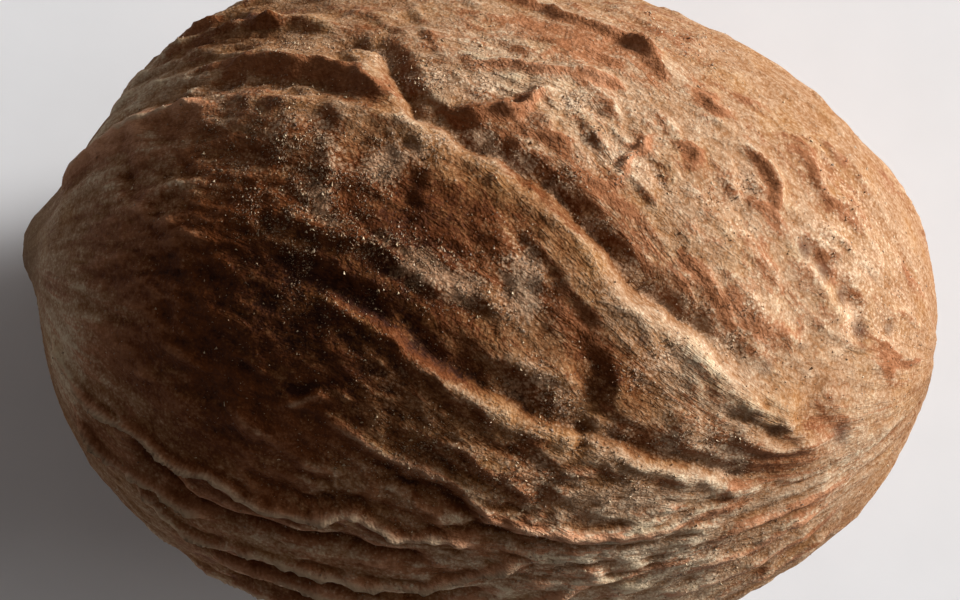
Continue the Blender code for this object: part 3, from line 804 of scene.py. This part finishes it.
# %% Where the dust and the crumbs lie
dust_spots = (
    (-4.6, 27, 0.8, 0.65), (-4.4, 22, 0.8, 0.65), (-4.6, 16.5, 0.9, 0.58), (-4.4, 11.5, 0.8, 0.65),
    (-5.8, 28, 1.2, 0.48), (-6, 21, 1.5, 0.32), (-5.6, 14, 1.1, 0.32), (-3.1, 22, 1, 0.64),
    (-3.2, 19, 1.1, 0.56), (-2.2, 24, 1.1, 0.64), (-3, 9, 1, 0.48), (-2.1, 6, 1.1, 0.72),
    (-1.3, 3.5, 1.2, 0.8), (-0.5, 2.3, 0.9, 0.72), (0.6, 6.5, 1, 0.56), (1, 3, 1.2, 0.72),
    (0.7, 0.5, 0.9, 0.64), (0.4, 10, 1.2, 0.32), (-1.5, 26.5, 0.9, 0.56), (-0.4, 24, 0.9, 0.56),
    (0.3, 22.5, 0.8, 0.4), (-0.6, 27.5, 0.9, 0.64), (0.6, 24.5, 0.9, 0.64), (1.6, 20.5, 0.9, 0.64),
    (2.6, 14.5, 0.8, 0.64), (3.3, 9.5, 0.8, 0.64), (4.2, 4.5, 0.8, 0.64), (5.2, 1.5, 0.9, 0.64),
    (6.3, -3, 0.9, 0.56), (-0.9, 36.5, 1.3, 0.64), (0.9, 36.5, 1.2, 0.64), (1.9, 35, 0.9, 0.64),
    (2.4, 27, 1.4, 0.64), (3.8, 24, 1.2, 0.56), (6.4, 28, 0.9, 0.72), (5.4, 23, 1, 0.56),
    (6.3, 18, 0.9, 0.56), (4, -8, 1.2, 0.64), (4.6, -5, 0.8, 0.64), (5.5, -17, 1.3, 0.56),
    (6.5, -22, 1.3, 0.64), (5, -22, 0.9, 0.64), (6.8, -27, 0.9, 0.64), (1.3, -10, 1.1, 0.64),
    (2, -13, 0.9, 0.48), (0.4, -15, 1.1, 0.4), (2.2, -17.5, 1, 0.48), (3.8, -19, 0.9, 0.48),
    (-2.5, -14, 1.3, 0.4), (-1, -22, 1.5, 0.4), (1.5, -27, 1.7, 0.48), (4, -31, 1.5, 0.48),
    (2.5, -47, 1.9, 0.48), (-3.6, 43, 1.3, 0.56), (-2.2, 38, 1.1, 0.64), (-6, 47, 1.7, 0.4),
    (-8, 38, 1.5, 0.4), (6.8, 5, 0.8, 0.64), (9.6, 6, 0.9, 0.56), (10.5, 15, 5, 0.35), (9, 35, 4, 0.25),
    (7, -48, 4, 0.4), (8.6, 22, 0.9, 0.48), (4.5, 62, 2.8, 0.32),
)
crumb_spots = (
    (-6.5, 26, 3, 0.5), (-5.2, 16, 3, 0.5), (-4, 5, 3, 0.4), (-1, 40, 2.5, 0.3), (2, -26, 3, 0.4),
    (-2, -28, 2.5, 0.3),
)
dust_everywhere = 0.10
off_rises = 0.20            # how much dust is missing from a broad crest
off_banks = 0.60            # and from a bare bank
least_dust = 0.10           # thinner dust has no crumbs
up_gain = 1.6               # above 1, so that gently tilted skin still keeps every crumb
bare_end = 0.8              # share of the crumbs that is missing at the blossom end
facing_up = np.clip(outwards[:, 2], 0.0, 1.0)
dust = np.clip(region(dust_spots) + dust_everywhere - off_rises * rise - off_banks * scarp, 0.0, 1.0)
crumbs_lie = np.clip(dust - least_dust, 0.0, 1.0) + region(crumb_spots)
towards_end = 1.0 - bare_end * ease(blossom_share(start=5.0, length=4.0))
crumbs_lie *= ease(facing_up * up_gain) * towards_end
print("dust on %.2f of the skin, crumbs on %.2f" % ((dust > 0.4).mean(), (crumbs_lie > 0.3).mean()))

# %% [markdown]
# ## The skin as a piece
#
# So far everything was numbers. Now they are written to a mesh: first the shape, and then every
# measurement the colours need, one number per point.

# %% Write the shape and the measurements to a mesh
# The crest line is kept only on the shaded side, where it is a painted highlight.
skin_marks = {
    "crest": crest, "rise": rise, "paleness": paleness, "scarp": scarp, "faces_away_from_window": faces_away_from_window,
    "reddish": reddish, "darkened": darkened, "stalk_grey": stalk_grey, "dust": dust,
    "roughness": coarseness, "worn": marks["worn"] * shaded_side, "edged": marks["edged"],
    "shaded_side": shaded_side,
}


def store(mesh_data, name, values):
    """Writes one number per point as an attribute."""
    layer = mesh_data.attributes.new(name, "FLOAT", "POINT")
    layer.data.foreach_set("value", np.ascontiguousarray(values, dtype=np.float32))


skin_mesh = bpy.data.meshes.new("nutmeg_skin")
for corner, point in zip(kernel.verts, shaped):
    corner.co = point * MM
kernel.to_mesh(skin_mesh)
kernel.free()
for name, values in skin_marks.items():
    store(skin_mesh, name, values)
lie = skin_mesh.attributes.new("lie", "FLOAT_VECTOR", "POINT")
lie.data.foreach_set("vector", combed.astype(np.float32).ravel())
print("attributes:", [layer.name for layer in skin_mesh.attributes])

# %% [markdown]
# The flat spot is cut with a plane, and the hole is closed with one face. Then the kernel is
# set down: its box is centred where the solid part's box is, with the spot on the table.

# %% Level the resting spot and set the nutmeg down
spot_cut = 0.16             # how much of the lowest skin is worn flat, in millimetres
cut_tolerance = 1e-7        # metres
solid_low, solid_high = (Vector(corner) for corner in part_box("nutmeg"))


def level_and_place(mesh_data):
    """Cuts the spot, closes it, and moves the skin to the solid part's place."""
    skin = bmesh.new()
    skin.from_mesh(mesh_data)
    level = min(corner.co.z for corner in skin.verts) + spot_cut * MM
    everything = skin.verts[:] + skin.edges[:] + skin.faces[:]
    cut = bmesh.ops.bisect_plane(skin, geom=everything, dist=cut_tolerance, plane_co=(0.0, 0.0, level),
                                 plane_no=(0.0, 0.0, 1.0), clear_inner=True)
    rim = [item for item in cut["geom_cut"] if isinstance(item, bmesh.types.BMEdge)]
    bmesh.ops.contextual_create(skin, geom=rim)
    low = [min(corner.co[axis] for corner in skin.verts) for axis in range(3)]
    high = [max(corner.co[axis] for corner in skin.verts) for axis in range(3)]
    middle = (solid_low + solid_high) / 2.0
    shift = Vector((middle.x - (low[0] + high[0]) / 2.0, middle.y - (low[1] + high[1]) / 2.0,
                    solid_low.z - low[2]))
    bmesh.ops.translate(skin, verts=skin.verts[:], vec=shift)
    bmesh.ops.recalc_face_normals(skin, faces=skin.faces[:])
    skin.to_mesh(mesh_data)
    skin.free()
    return shift


def add_object(name, data):
    """Puts a mesh, a camera or a light into the scene."""
    thing = bpy.data.objects.new(name, data)
    bpy.context.scene.collection.objects.link(thing)
    return thing


shift = level_and_place(skin_mesh)
skin_mesh.shade_smooth()
nutmeg_skin = add_object("nutmeg_folded_skin", skin_mesh)
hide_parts("nutmeg")
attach(nutmeg_skin, "root")
print("triangles:", sum(len(face.vertices) - 2 for face in skin_mesh.polygons),
      " moved by mm:", [round(value / MM, 2) for value in shift])

# %% [markdown]
# The skin gets its own map, so that a finish baked onto it stays sharp. The six sides of the
# starting cube are still there as directions, and each gets one cell of a three by two sheet.

# %% Lay the six sides out on a sheet
sheet_columns = 3
sheet_rows = 2
cell_margin = 0.02
least_depth = 0.3           # never divides by less than this


def read_points(mesh_data):
    """Where the mesh's points lie, one row each."""
    points = np.empty(len(mesh_data.vertices) * 3)
    mesh_data.vertices.foreach_get("co", points)
    return points.reshape(-1, 3)


def face_corner_points(mesh_data):
    """Which point each corner of each face stands on."""
    owners = np.empty(len(mesh_data.loops), dtype=int)
    mesh_data.loops.foreach_get("vertex_index", owners)
    return owners


def write_map(mesh_data, u, v):
    """Stores the flat place of every face corner."""
    layer = mesh_data.uv_layers.new(name="OFBake")
    layer.data.foreach_set("uv", np.stack([u, v], axis=1).astype(np.float32).ravel())


def lay_out_skin(mesh_data):
    """A map with one cell for each of the six sides the skin faces."""
    centred = read_points(mesh_data) / MM - np.array(shift) / MM
    ball = centred / np.array([half_length, half_width, half_height])
    face_middles = np.array([ball[list(face.vertices)].mean(axis=0) for face in mesh_data.polygons])
    main_axis = np.abs(face_middles).argmax(axis=1)
    positive = face_middles[np.arange(len(face_middles)), main_axis] > 0.0
    corner_counts = [len(face.vertices) for face in mesh_data.polygons]
    axis = np.repeat(main_axis, corner_counts)
    row = np.repeat(positive.astype(int), corner_counts)
    place = ball[face_corner_points(mesh_data)]
    each = np.arange(len(place))
    depth = np.maximum(np.abs(place[each, axis]), least_depth)
    u, v = (np.clip(np.arctan(place[each, (axis + turn) % 3] / depth) / (math.pi / 4), -1, 1)
            for turn in (1, 2))
    spread = 0.5 * (1.0 - 2.0 * cell_margin)
    write_map(mesh_data, (axis + 0.5 + spread * u) / sheet_columns, (row + 0.5 + spread * v) / sheet_rows)


lay_out_skin(skin_mesh)
print("map:", skin_mesh.uv_layers[0].name)

# %% [markdown]
# ## Dust grains
#
# The larger dust is real. **Grains** are crumbs of ground spice, a few hundredths of a
# millimetre across, and among them lie fewer, larger and paler **chips** of shell. A crumb has
# only six faces, because there are thousands. One is modelled and doubled again and again,
# which is much quicker than making each one. Each is then stretched, dented, sized and dropped
# on the skin where the dust lies thickest. Dust gathers in drifts, so smooth noise thins it out.

# %% Make and scatter the crumbs
drift_grain = 1.5           # how often the drifts come, per millimetre
drift_contrast = 1.4
crumb_stretch = (0.55, 1.25)    # how long or short a crumb is along each of its sides
crumb_dents = 0.22          # how far its corners stray, in its own sizes
crumb_jitter = 0.06         # how far it lies from a point of the skin's grid, in millimetres
crumb_cell = 0.35           # share of its map cell that it covers to either side


def crumb_heap(doublings):
    """One six-faced crumb, doubled until there are enough."""
    crumb = bmesh.new()
    bmesh.ops.create_uvsphere(crumb, u_segments=3, v_segments=2, radius=1.0)
    one_crumb = bpy.data.meshes.new("one_crumb")
    crumb.to_mesh(one_crumb)
    crumb.free()
    heap = bmesh.new()
    heap.from_mesh(one_crumb)
    bpy.data.meshes.remove(one_crumb)
    for _ in range(doublings):
        bmesh.ops.duplicate(heap, geom=heap.verts[:] + heap.edges[:] + heap.faces[:])
    return heap


def scatter(mesh_data, crumb_count, seed, smallest, largest, rarity, stray, sink):
    """Sizes and drops every crumb, and gives each its own shade and map cell. More rarity makes
    large crumbs rarer, stray lets some lie where no dust is, and sink lowers them into the skin."""
    chance = np.random.default_rng(seed)
    local = read_points(mesh_data).reshape(crumb_count, -1, 3)
    weight = (crumbs_lie * drifts + stray * facing_up) * point_area
    chosen = chance.choice(len(bare), size=crumb_count, p=weight / weight.sum())
    size = smallest + (largest - smallest) * chance.random(crumb_count) ** rarity
    crumbs = local * chance.uniform(*crumb_stretch, (crumb_count, 1, 3)) * size[:, None, None]
    crumbs += chance.normal(0.0, crumb_dents, crumbs.shape) * size[:, None, None]
    jitter = chance.uniform(-crumb_jitter, crumb_jitter, (crumb_count, 3))
    jitter -= outwards[chosen] * np.einsum("ij,ij->i", jitter, outwards[chosen])[:, None]
    lift = outwards[chosen] * (sink * size)[:, None]
    crumbs += (shaped[chosen] + jitter + lift)[:, None, :]
    placed = crumbs * MM + np.array(shift)
    mesh_data.vertices.foreach_set("co", placed.astype(np.float32).ravel())
    store(mesh_data, "shade", np.repeat(chance.random(crumb_count), local.shape[1]))
    lay_out_crumbs(mesh_data, local)


def lay_out_crumbs(mesh_data, local):
    """A map in which every crumb has a cell of its own."""
    across = int(math.ceil(math.sqrt(len(local))))
    owners = face_corner_points(mesh_data)
    crumb = owners // local.shape[1]
    flat = local.reshape(-1, 3)[owners, :2]
    write_map(mesh_data, (crumb % across + 0.5 + crumb_cell * flat[:, 0]) / across,
              (crumb // across + 0.5 + crumb_cell * flat[:, 1]) / across)


def make_crumbs(name, doublings, **choices):
    """A piece made of thousands of crumbs of one kind."""
    heap = crumb_heap(doublings)
    mesh_data = bpy.data.meshes.new(name)
    heap.to_mesh(mesh_data)
    heap.free()
    scatter(mesh_data, 2 ** doublings, **choices)
    piece = add_object(name, mesh_data)
    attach(piece, "root")
    print(name, "crumbs:", 2 ** doublings, " faces:", len(mesh_data.polygons))
    return piece


drifts = ease(0.5 + drift_contrast * layered_noise(bare, 1.0, drift_grain, 0.8))
edge_lengths = np.linalg.norm(bare[edge_start] - bare[edge_end], axis=1)
point_area = (gather(edge_lengths, edge_lengths) / edge_counts) ** 2
dust_grains = make_crumbs("nutmeg_dust_grains", 15, seed=5, smallest=0.014, largest=0.040,
                          rarity=3, stray=0.02, sink=-0.35)
shell_chips = make_crumbs("nutmeg_shell_chips", 11, seed=8, smallest=0.022, largest=0.062,
                          rarity=3, stray=0.010, sink=-0.15)

# %% [markdown]
# ## Finishes
#
# A few short helpers keep the finishes readable. Each adds one node and returns the socket
# that carries its result, so a finish reads like a recipe. A sum's weights stand beside what
# they weigh.

# %% Helpers for finishes
def add_node(tree, kind, result, sources, **settings):
    """Adds a node with its settings. Each source is a result to join, or a plain value to set."""
    node = tree.nodes.new("ShaderNode" + kind)
    for name, value in settings.items():
        setattr(node, name, value)
    for name, source in sources.items():
        if isinstance(source, bpy.types.NodeSocket):
            tree.links.new(source, node.inputs[name])
        else:
            node.inputs[name].default_value = source
    return node.outputs[result]


def attribute(tree, name, result="Fac"):
    """A number, or a place, that the mesh carries."""
    return add_node(tree, "Attribute", result, {}, attribute_name=name)


def scaled(tree, place, scale):
    """A place with its three measures scaled."""
    return add_node(tree, "Mapping", "Vector", {"Vector": place, "Scale": scale})


def in_millimetres(tree):
    """The place on the piece, in millimetres."""
    return scaled(tree, add_node(tree, "TexCoord", "Object", {}), (1000.0, 1000.0, 1000.0))


def cloudy(tree, place, scale, detail=3.0, roughness=0.6, distortion=0.0):
    """Smooth noise from 0 to 1."""
    return add_node(tree, "TexNoise", "Fac", {"Vector": place, "Scale": scale, "Detail": detail,
                                              "Roughness": roughness, "Distortion": distortion})


def reading(tree, value, low, high, new_low=0.0, new_high=1.0):
    """Stretches the span from low to high over a new span, with soft ends."""
    spans = {"From Min": low, "From Max": high, "To Min": new_low, "To Max": new_high}
    return add_node(tree, "MapRange", "Result", {"Value": value, **spans}, interpolation_type="SMOOTHSTEP")


def work_out(tree, operation, *values):
    """One operation on results or plain values."""
    return add_node(tree, "Math", "Value", dict(enumerate(values)), operation=operation)


def sum_up(tree, *terms, shift=0.0):
    """Adds up results, each with its own weight, and then shifts the sum."""
    total = 0.0
    for value, weight in terms:
        total = work_out(tree, "MULTIPLY_ADD", value, weight, total)
    return work_out(tree, "ADD", total, shift) if shift else total


def both(tree, first, second):
    """One result times another."""
    return work_out(tree, "MULTIPLY", first, second)


def creases(tree, cloud, width):
    """Thin winding lines, wherever a cloud passes through its middle."""
    size = work_out(tree, "ABSOLUTE", work_out(tree, "SUBTRACT", cloud, 0.5))
    return reading(tree, size, 0.0, width, 1.0, 0.0)


def colour_steps(tree, value, stops):
    """Turns a number into a colour by way of steps."""
    colour = add_node(tree, "ValToRGB", "Color", {"Fac": value})
    ramp = colour.node.color_ramp
    while len(ramp.elements) < len(stops):
        ramp.elements.new(0.5)
    for element, (place, shade) in zip(ramp.elements, stops):
        element.position = place
        element.color = (*shade, 1.0)
    return colour


def lay_over(tree, amount, under, over):
    """One colour over another. A mix node takes its two colours at inputs 6 and 7."""
    return add_node(tree, "Mix", 2, {0: amount, 6: under, 7: over}, data_type="RGBA")


def add_bumps(tree, shader, height, strength, depth):
    """Fine unevenness, as deep as the given depth in metres."""
    bumps = add_node(tree, "Bump", "Normal", {"Strength": strength, "Distance": depth, "Height": height})
    tree.links.new(bumps, shader.inputs["Normal"])


def new_finish(name):
    """A new material with its Principled shader."""
    finish = bpy.data.materials.new(name)
    finish.use_nodes = True
    return finish, finish.node_tree, finish.node_tree.nodes["Principled BSDF"]


print("helpers ready")

# %% [markdown]
# ### Fine grit
#
# The skin and the crumbs are both gritty, so grit is a group that both finishes share. It
# puts out how light each grain of grit is, and its height for the bumps.

# %% The shared grit group
def make_grit_group():
    """Grit of two sizes, with its lightness and its height."""
    group = bpy.data.node_groups.new("spice_grit", "ShaderNodeTree")
    for name, way, kind in (("Place", "INPUT", "Vector"), ("Grains per mm", "INPUT", "Float"),
                            ("Lightness", "OUTPUT", "Float"), ("Height", "OUTPUT", "Float")):
        group.interface.new_socket(name, in_out=way, socket_type="NodeSocket" + kind)
    inlet = group.nodes.new("NodeGroupInput")
    outlet = group.nodes.new("NodeGroupOutput")
    place, scale = inlet.outputs["Place"], inlet.outputs["Grains per mm"]
    fine = cloudy(group, place, scale, 4.0, 0.75)
    chips = add_node(group, "TexVoronoi", "Distance", {"Vector": place, "Scale": scale})
    lightness = reading(group, sum_up(group, (fine, 0.8), (chips, -0.35)), 0.06, 0.50)
    height = sum_up(group, (fine, 0.8), (chips, -0.6))
    group.links.new(lightness, outlet.inputs["Lightness"])
    group.links.new(height, outlet.inputs["Height"])
    return group


grit_group = make_grit_group()


def grit(tree, place, grains_per_mm):
    """Puts the grit group in a finish and returns its two results."""
    sources = {"Place": place, "Grains per mm": grains_per_mm}
    lightness = add_node(tree, "Group", "Lightness", sources, node_tree=grit_group)
    return lightness, lightness.node.outputs["Height"]


print("group:", grit_group.name)

# %% [markdown]
# ### Dried skin
#
# The skin has three layers. Most of it is **golden tan** and a little gritty. Steep banks, scale
# edges, banks that face away from the window and strips below keen crests show the smooth **red
# brown** of the bare skin; on the banks away from the window and below keen crests this is partly
# painted shade. Over both lie patches of **grey tan dust**, full of grit. Each layer gets darker
# on the stalk side and paler at the blossom end, and on the shaded side its crests are painted
# lighter and its hollows darker. The layers' edges are broken up by the grit, so they never meet
# in a clean line. Thin **cracks** wind along the folds. Last come the painted highlight on the
# shaded side's crests, dark flecks and spots, some of them painted shade in hollows, and the grey
# nub.

# %% Colours of the skin and the dust
film_tans = ((0.00, (0.036, 0.0125, 0.0060)), (0.25, (0.118, 0.0400, 0.0115)),
    (0.50, (0.216, 0.1030, 0.0450)), (0.75, (0.340, 0.216, 0.130)), (1.00, (0.520, 0.408, 0.280)))
golden_browns = ((0.00, (0.032, 0.0110, 0.0025)), (0.25, (0.124, 0.0410, 0.0092)),
    (0.50, (0.240, 0.1100, 0.0400)), (0.75, (0.352, 0.216, 0.119)), (1.00, (0.522, 0.395, 0.248)))
red_browns = ((0.00, (0.028, 0.0080, 0.0036)), (0.35, (0.112, 0.0310, 0.0072)),
    (0.65, (0.242, 0.0960, 0.0400)), (1.00, (0.460, 0.228, 0.124)))
dust_tans = ((0.00, (0.036, 0.0200, 0.0110)), (0.25, (0.124, 0.0650, 0.0325)),
    (0.50, (0.258, 0.1350, 0.0710)), (0.75, (0.394, 0.248, 0.150)), (1.00, (0.590, 0.450, 0.310)))
worn_browns = ((0.00, (0.150, 0.080, 0.042)), (0.50, (0.298, 0.193, 0.118)), (1.00, (0.436, 0.310, 0.198)))
fleck_colour = (0.050, 0.0190, 0.0110, 1.0)
stalk_colour = (0.310, 0.205, 0.125, 1.0)
skin_grit = 10.5            # grains per millimetre
skin_shine = 0.06
skin_bump_depth = 0.00007   # metres
drawn_along = (0.45, 1.0, 1.0)      # shortens the combed skin, so clouds come out longer there
long_drawn = (0.20, 1.0, 1.0)


def make_skin_finish():
    """Golden skin, red brown banks that are partly bare skin and partly painted shade, grey tan dust, and
    painted shade and highlight on the folds.
    """
    finish, tree, shader = new_finish("nutmeg_dried_skin")
    mark = {name: attribute(tree, name) for name in skin_marks}
    place = in_millimetres(tree)
    lie = attribute(tree, "lie", "Vector")
    drawn = scaled(tree, lie, drawn_along)
    lightness, height = grit(tree, place, skin_grit)
    threads = cloudy(tree, scaled(tree, lie, long_drawn), 5.0, 3.0, 0.65)
    blotches = cloudy(tree, place, 1.3, 4.0, 0.62)
    smears = cloudy(tree, drawn, 0.9, 4.0, 0.6, 0.6)
    mottle = cloudy(tree, place, 5.0, 4.0, 0.7)
    heaps = cloudy(tree, place, 3.0, 3.0, 0.7)
    cracks = creases(tree, cloudy(tree, drawn, 1.0, 4.0, 0.62, 0.6), 0.075)
    fine_cracks = creases(tree, cloudy(tree, drawn, 2.4, 4.0, 0.65, 0.4), 0.10)

    # Painted highlight and painted shade: on the shaded side crests are lighter and hollows darker, and the
    # rise weight in the base and the crest weights in the film and dust tones do a little of the same
    # everywhere.
    painted_fold_shade = sum_up(tree, (mark["rise"], 0.24), (mark["crest"], 0.22))
    base = sum_up(tree, (mark["paleness"], 0.90), (mark["rise"], 0.06), (blotches, 0.35), (mottle, 0.55),
                  (both(tree, painted_fold_shade, mark["shaded_side"]), 1.0), shift=-0.675)
    film_tone = sum_up(tree, (base, 1.0), (mark["crest"], 0.12), (lightness, 0.24), (threads, 0.12),
                       (fine_cracks, 0.06), shift=0.03)
    gilding = sum_up(tree, (mark["rise"], 0.30), (cloudy(tree, place, 0.8, 3.0, 0.6), 2.2), shift=-0.95)
    golden = lay_over(tree, reading(tree, gilding, 0.0, 0.7), colour_steps(tree, film_tone, film_tans),
                      colour_steps(tree, film_tone, golden_browns))
    red_tone = sum_up(tree, (base, 1.0), (threads, 0.14), (lightness, 0.16), shift=0.05)
    # Bareness includes the banks that face away from the window and the strips below keen crests, which are
    # partly painted shade.
    bareness = sum_up(tree, (mark["faces_away_from_window"], 0.55), (mark["scarp"], 0.50), (mark["reddish"], 0.70),
                      (mark["edged"], 1.05), (smears, 2.60), (mottle, -1.00), (lightness, -0.25),
                      (mark["crest"], 0.15), (cracks, 0.30), (fine_cracks, 0.20), shift=-0.98)
    skin = lay_over(tree, reading(tree, bareness, 0.0, 0.75), golden,
                    colour_steps(tree, red_tone, red_browns))
    dust_tone = sum_up(tree, (base, 0.72), (mark["crest"], 0.10), (lightness, 0.32), (mark["dust"], 0.26),
                       shift=0.09)
    dustiness = sum_up(tree, (mark["dust"], 1.35), (blotches, 0.9), (heaps, 1.5), (lightness, 0.8),
                       (mark["crest"], -0.25), (cracks, -0.30), (mark["edged"], -0.90), shift=-1.96)
    dusted = lay_over(tree, reading(tree, dustiness, 0.0, 0.55), skin,
                      colour_steps(tree, dust_tone, dust_tans))
    # Crests on the shaded side get a painted highlight in pale browns.
    worn_tone = sum_up(tree, (base, 1.0), (lightness, 0.30), shift=0.16)
    crest_highlight_amount = sum_up(tree, (mark["worn"], 1.5), (mottle, 0.8), shift=-0.78)
    crested = lay_over(tree, reading(tree, crest_highlight_amount, 0.0, 0.8, 0.0, 0.9), dusted,
                       colour_steps(tree, worn_tone, worn_browns))
    # The dark spots along the right furrow, in the hook hollow and beside the pad are partly painted shade
    # in those hollows.
    flecks = reading(tree, cloudy(tree, drawn, 4.5, 3.0, 0.6), 0.66, 0.74)
    dark_mark = sum_up(tree, (flecks, 0.40), (mark["darkened"], 1.0))
    flecked = lay_over(tree, reading(tree, dark_mark, 0.1, 0.8, 0.0, 0.75), crested, fleck_colour)
    grey_end = lay_over(tree, both(tree, mark["stalk_grey"], 0.6), flecked, stalk_colour)
    tree.links.new(grey_end, shader.inputs["Base Color"])
    tree.links.new(reading(tree, bareness, 0.0, 0.7, 0.85, 0.60), shader.inputs["Roughness"])
    shader.inputs["Specular IOR Level"].default_value = skin_shine

    rough = sum_up(tree, (mark["roughness"], 0.7), shift=0.3)
    detail = sum_up(tree, (height, 0.55), (threads, 0.25), (mottle, 0.9), (cracks, 0.25),
                    (fine_cracks, 0.25))
    unevenness = sum_up(tree, (both(tree, detail, rough), 1.0), (cloudy(tree, place, 2.2, 3.0, 0.6), 0.5))
    add_bumps(tree, shader, unevenness, 1.0, skin_bump_depth)
    return finish


skin_mesh.materials.append(make_skin_finish())
print("finish:", skin_mesh.materials[0].name)

# %% [markdown]
# ### Crumbs
#
# The grains are bits of the same spice, from brown to straw, and the chips are bits of shell,
# from straw to nearly white. Each crumb takes a shade of its own between the two.

# %% The crumbs' colours
grain_shades = ((0.0, (0.100, 0.052, 0.024)), (0.5, (0.210, 0.124, 0.064)), (1.0, (0.370, 0.245, 0.140)))
chip_shades = ((0.0, (0.22, 0.140, 0.075)), (0.5, (0.38, 0.270, 0.155)), (1.0, (0.50, 0.39, 0.245)))
crumb_grit = 30.0           # grains per millimetre
crumb_bump_depth = 0.00001  # metres


def make_crumb_finish(name, shades):
    """Dry crumbs, each with its own shade."""
    finish, tree, shader = new_finish(name)
    lightness, height = grit(tree, in_millimetres(tree), crumb_grit)
    shade = sum_up(tree, (attribute(tree, "shade"), 0.9), (lightness, 0.3), shift=-0.1)
    tree.links.new(colour_steps(tree, shade, shades), shader.inputs["Base Color"])
    shader.inputs["Roughness"].default_value = 0.6
    add_bumps(tree, shader, height, 0.4, crumb_bump_depth)
    return finish


dust_grains.data.materials.append(make_crumb_finish("nutmeg_spice_grain", grain_shades))
shell_chips.data.materials.append(make_crumb_finish("nutmeg_shell_chip", chip_shades))
print("finishes:", dust_grains.data.materials[0].name, shell_chips.data.materials[0].name)

# %% [markdown]
# ## Table, light and camera
#
# The nutmeg lies on pale card. One soft window stands low to the upper right, so every fold
# throws its shadow to the lower left. A wide dim glow beside the window softens the shadows'
# edges, and a dim even light fills them.

# %% The card it lies on
card_half = 0.35            # metres
card_gap = 0.00002          # keeps the card from touching the resting spot
card_shades = ((0.0, (0.760, 0.762, 0.774)), (1.0, (0.815, 0.817, 0.830)))


def make_card():
    """A large pale sheet just under the resting spot."""
    sheet = bmesh.new()
    bmesh.ops.create_grid(sheet, x_segments=2, y_segments=2, size=card_half)
    bmesh.ops.translate(sheet, verts=sheet.verts[:], vec=(0.0, 0.0, solid_low.z - card_gap))
    data = bpy.data.meshes.new("pale_card")
    sheet.to_mesh(data)
    sheet.free()
    finish, tree, shader = new_finish("pale_card")
    tone = cloudy(tree, in_millimetres(tree), 0.4, 3.0, 0.5)
    tree.links.new(colour_steps(tree, tone, card_shades), shader.inputs["Base Color"])
    shader.inputs["Roughness"].default_value = 0.8
    data.materials.append(finish)
    card = add_object("pale_card", data)
    return card


card = make_card()
print("card is", 2 * card_half, "m wide")

# %% Camera straight above
lens_mm = 100.0
sensor_mm = 36.0
nearest_seen = 0.005        # metres
camera_height = 0.0771      # above the kernel's middle
camera_turn = math.radians(5.5)
camera_right = -0.26        # millimetres from the kernel's middle
camera_up = 0.17
kernel_middle = shift


def place_camera():
    """Looks straight down, turned a little so that the blossom end sinks to the right."""
    data = bpy.data.cameras.new("view_from_above")
    data.lens = lens_mm
    data.sensor_width = sensor_mm
    data.clip_start = nearest_seen
    camera = add_object("view_from_above", data)
    right = Vector((math.cos(camera_turn), math.sin(camera_turn), 0.0))
    up = Vector((-math.sin(camera_turn), math.cos(camera_turn), 0.0))
    camera.location = kernel_middle + right * camera_right * MM + up * camera_up * MM
    camera.location.z += camera_height
    camera.rotation_euler = (0.0, 0.0, camera_turn)
    bpy.context.scene.camera = camera
    return camera


camera = place_camera()
print("camera is", round(camera.location.z / MM, 1), "mm above the card")

# %% Window light and fill
lamp_distance = 1.20        # metres from the kernel's middle, for both lamps
lamp_colour = (1.0, 0.998, 0.996)
fill_colour = (1.0, 0.92, 0.89, 1.0)
fill_strength = 0.13


def place_lamp(name, turn, height, size, power):
    """A soft square lamp that faces the nutmeg. Its turn is counted up from the view's right."""
    data = bpy.data.lights.new(name, "AREA")
    data.shape = "SQUARE"
    data.size = size
    data.energy = power
    data.color = lamp_colour
    lamp = add_object(name, data)
    turn = math.radians(turn) + camera_turn
    height = math.radians(height)
    flat = math.cos(height)
    towards = Vector((math.cos(turn) * flat, math.sin(turn) * flat, math.sin(height)))
    lamp.location = kernel_middle + towards * lamp_distance
    lamp.rotation_euler = towards.to_track_quat("Z", "Y").to_euler()
    return lamp


def set_fill():
    """Dim even light from all round."""
    world = bpy.data.worlds.new("fill")
    world.use_nodes = True
    sky = world.node_tree.nodes["Background"]
    sky.inputs["Color"].default_value = fill_colour
    sky.inputs["Strength"].default_value = fill_strength
    bpy.context.scene.world = world


window = place_lamp("window", turn=24.0, height=15.0, size=0.240, power=34.5)
place_lamp("glow", turn=20.0, height=30.0, size=1.20, power=7.0)
set_fill()
bpy.context.scene.view_settings.view_transform = "Standard"
print("window at", [round(value, 3) for value in window.location])
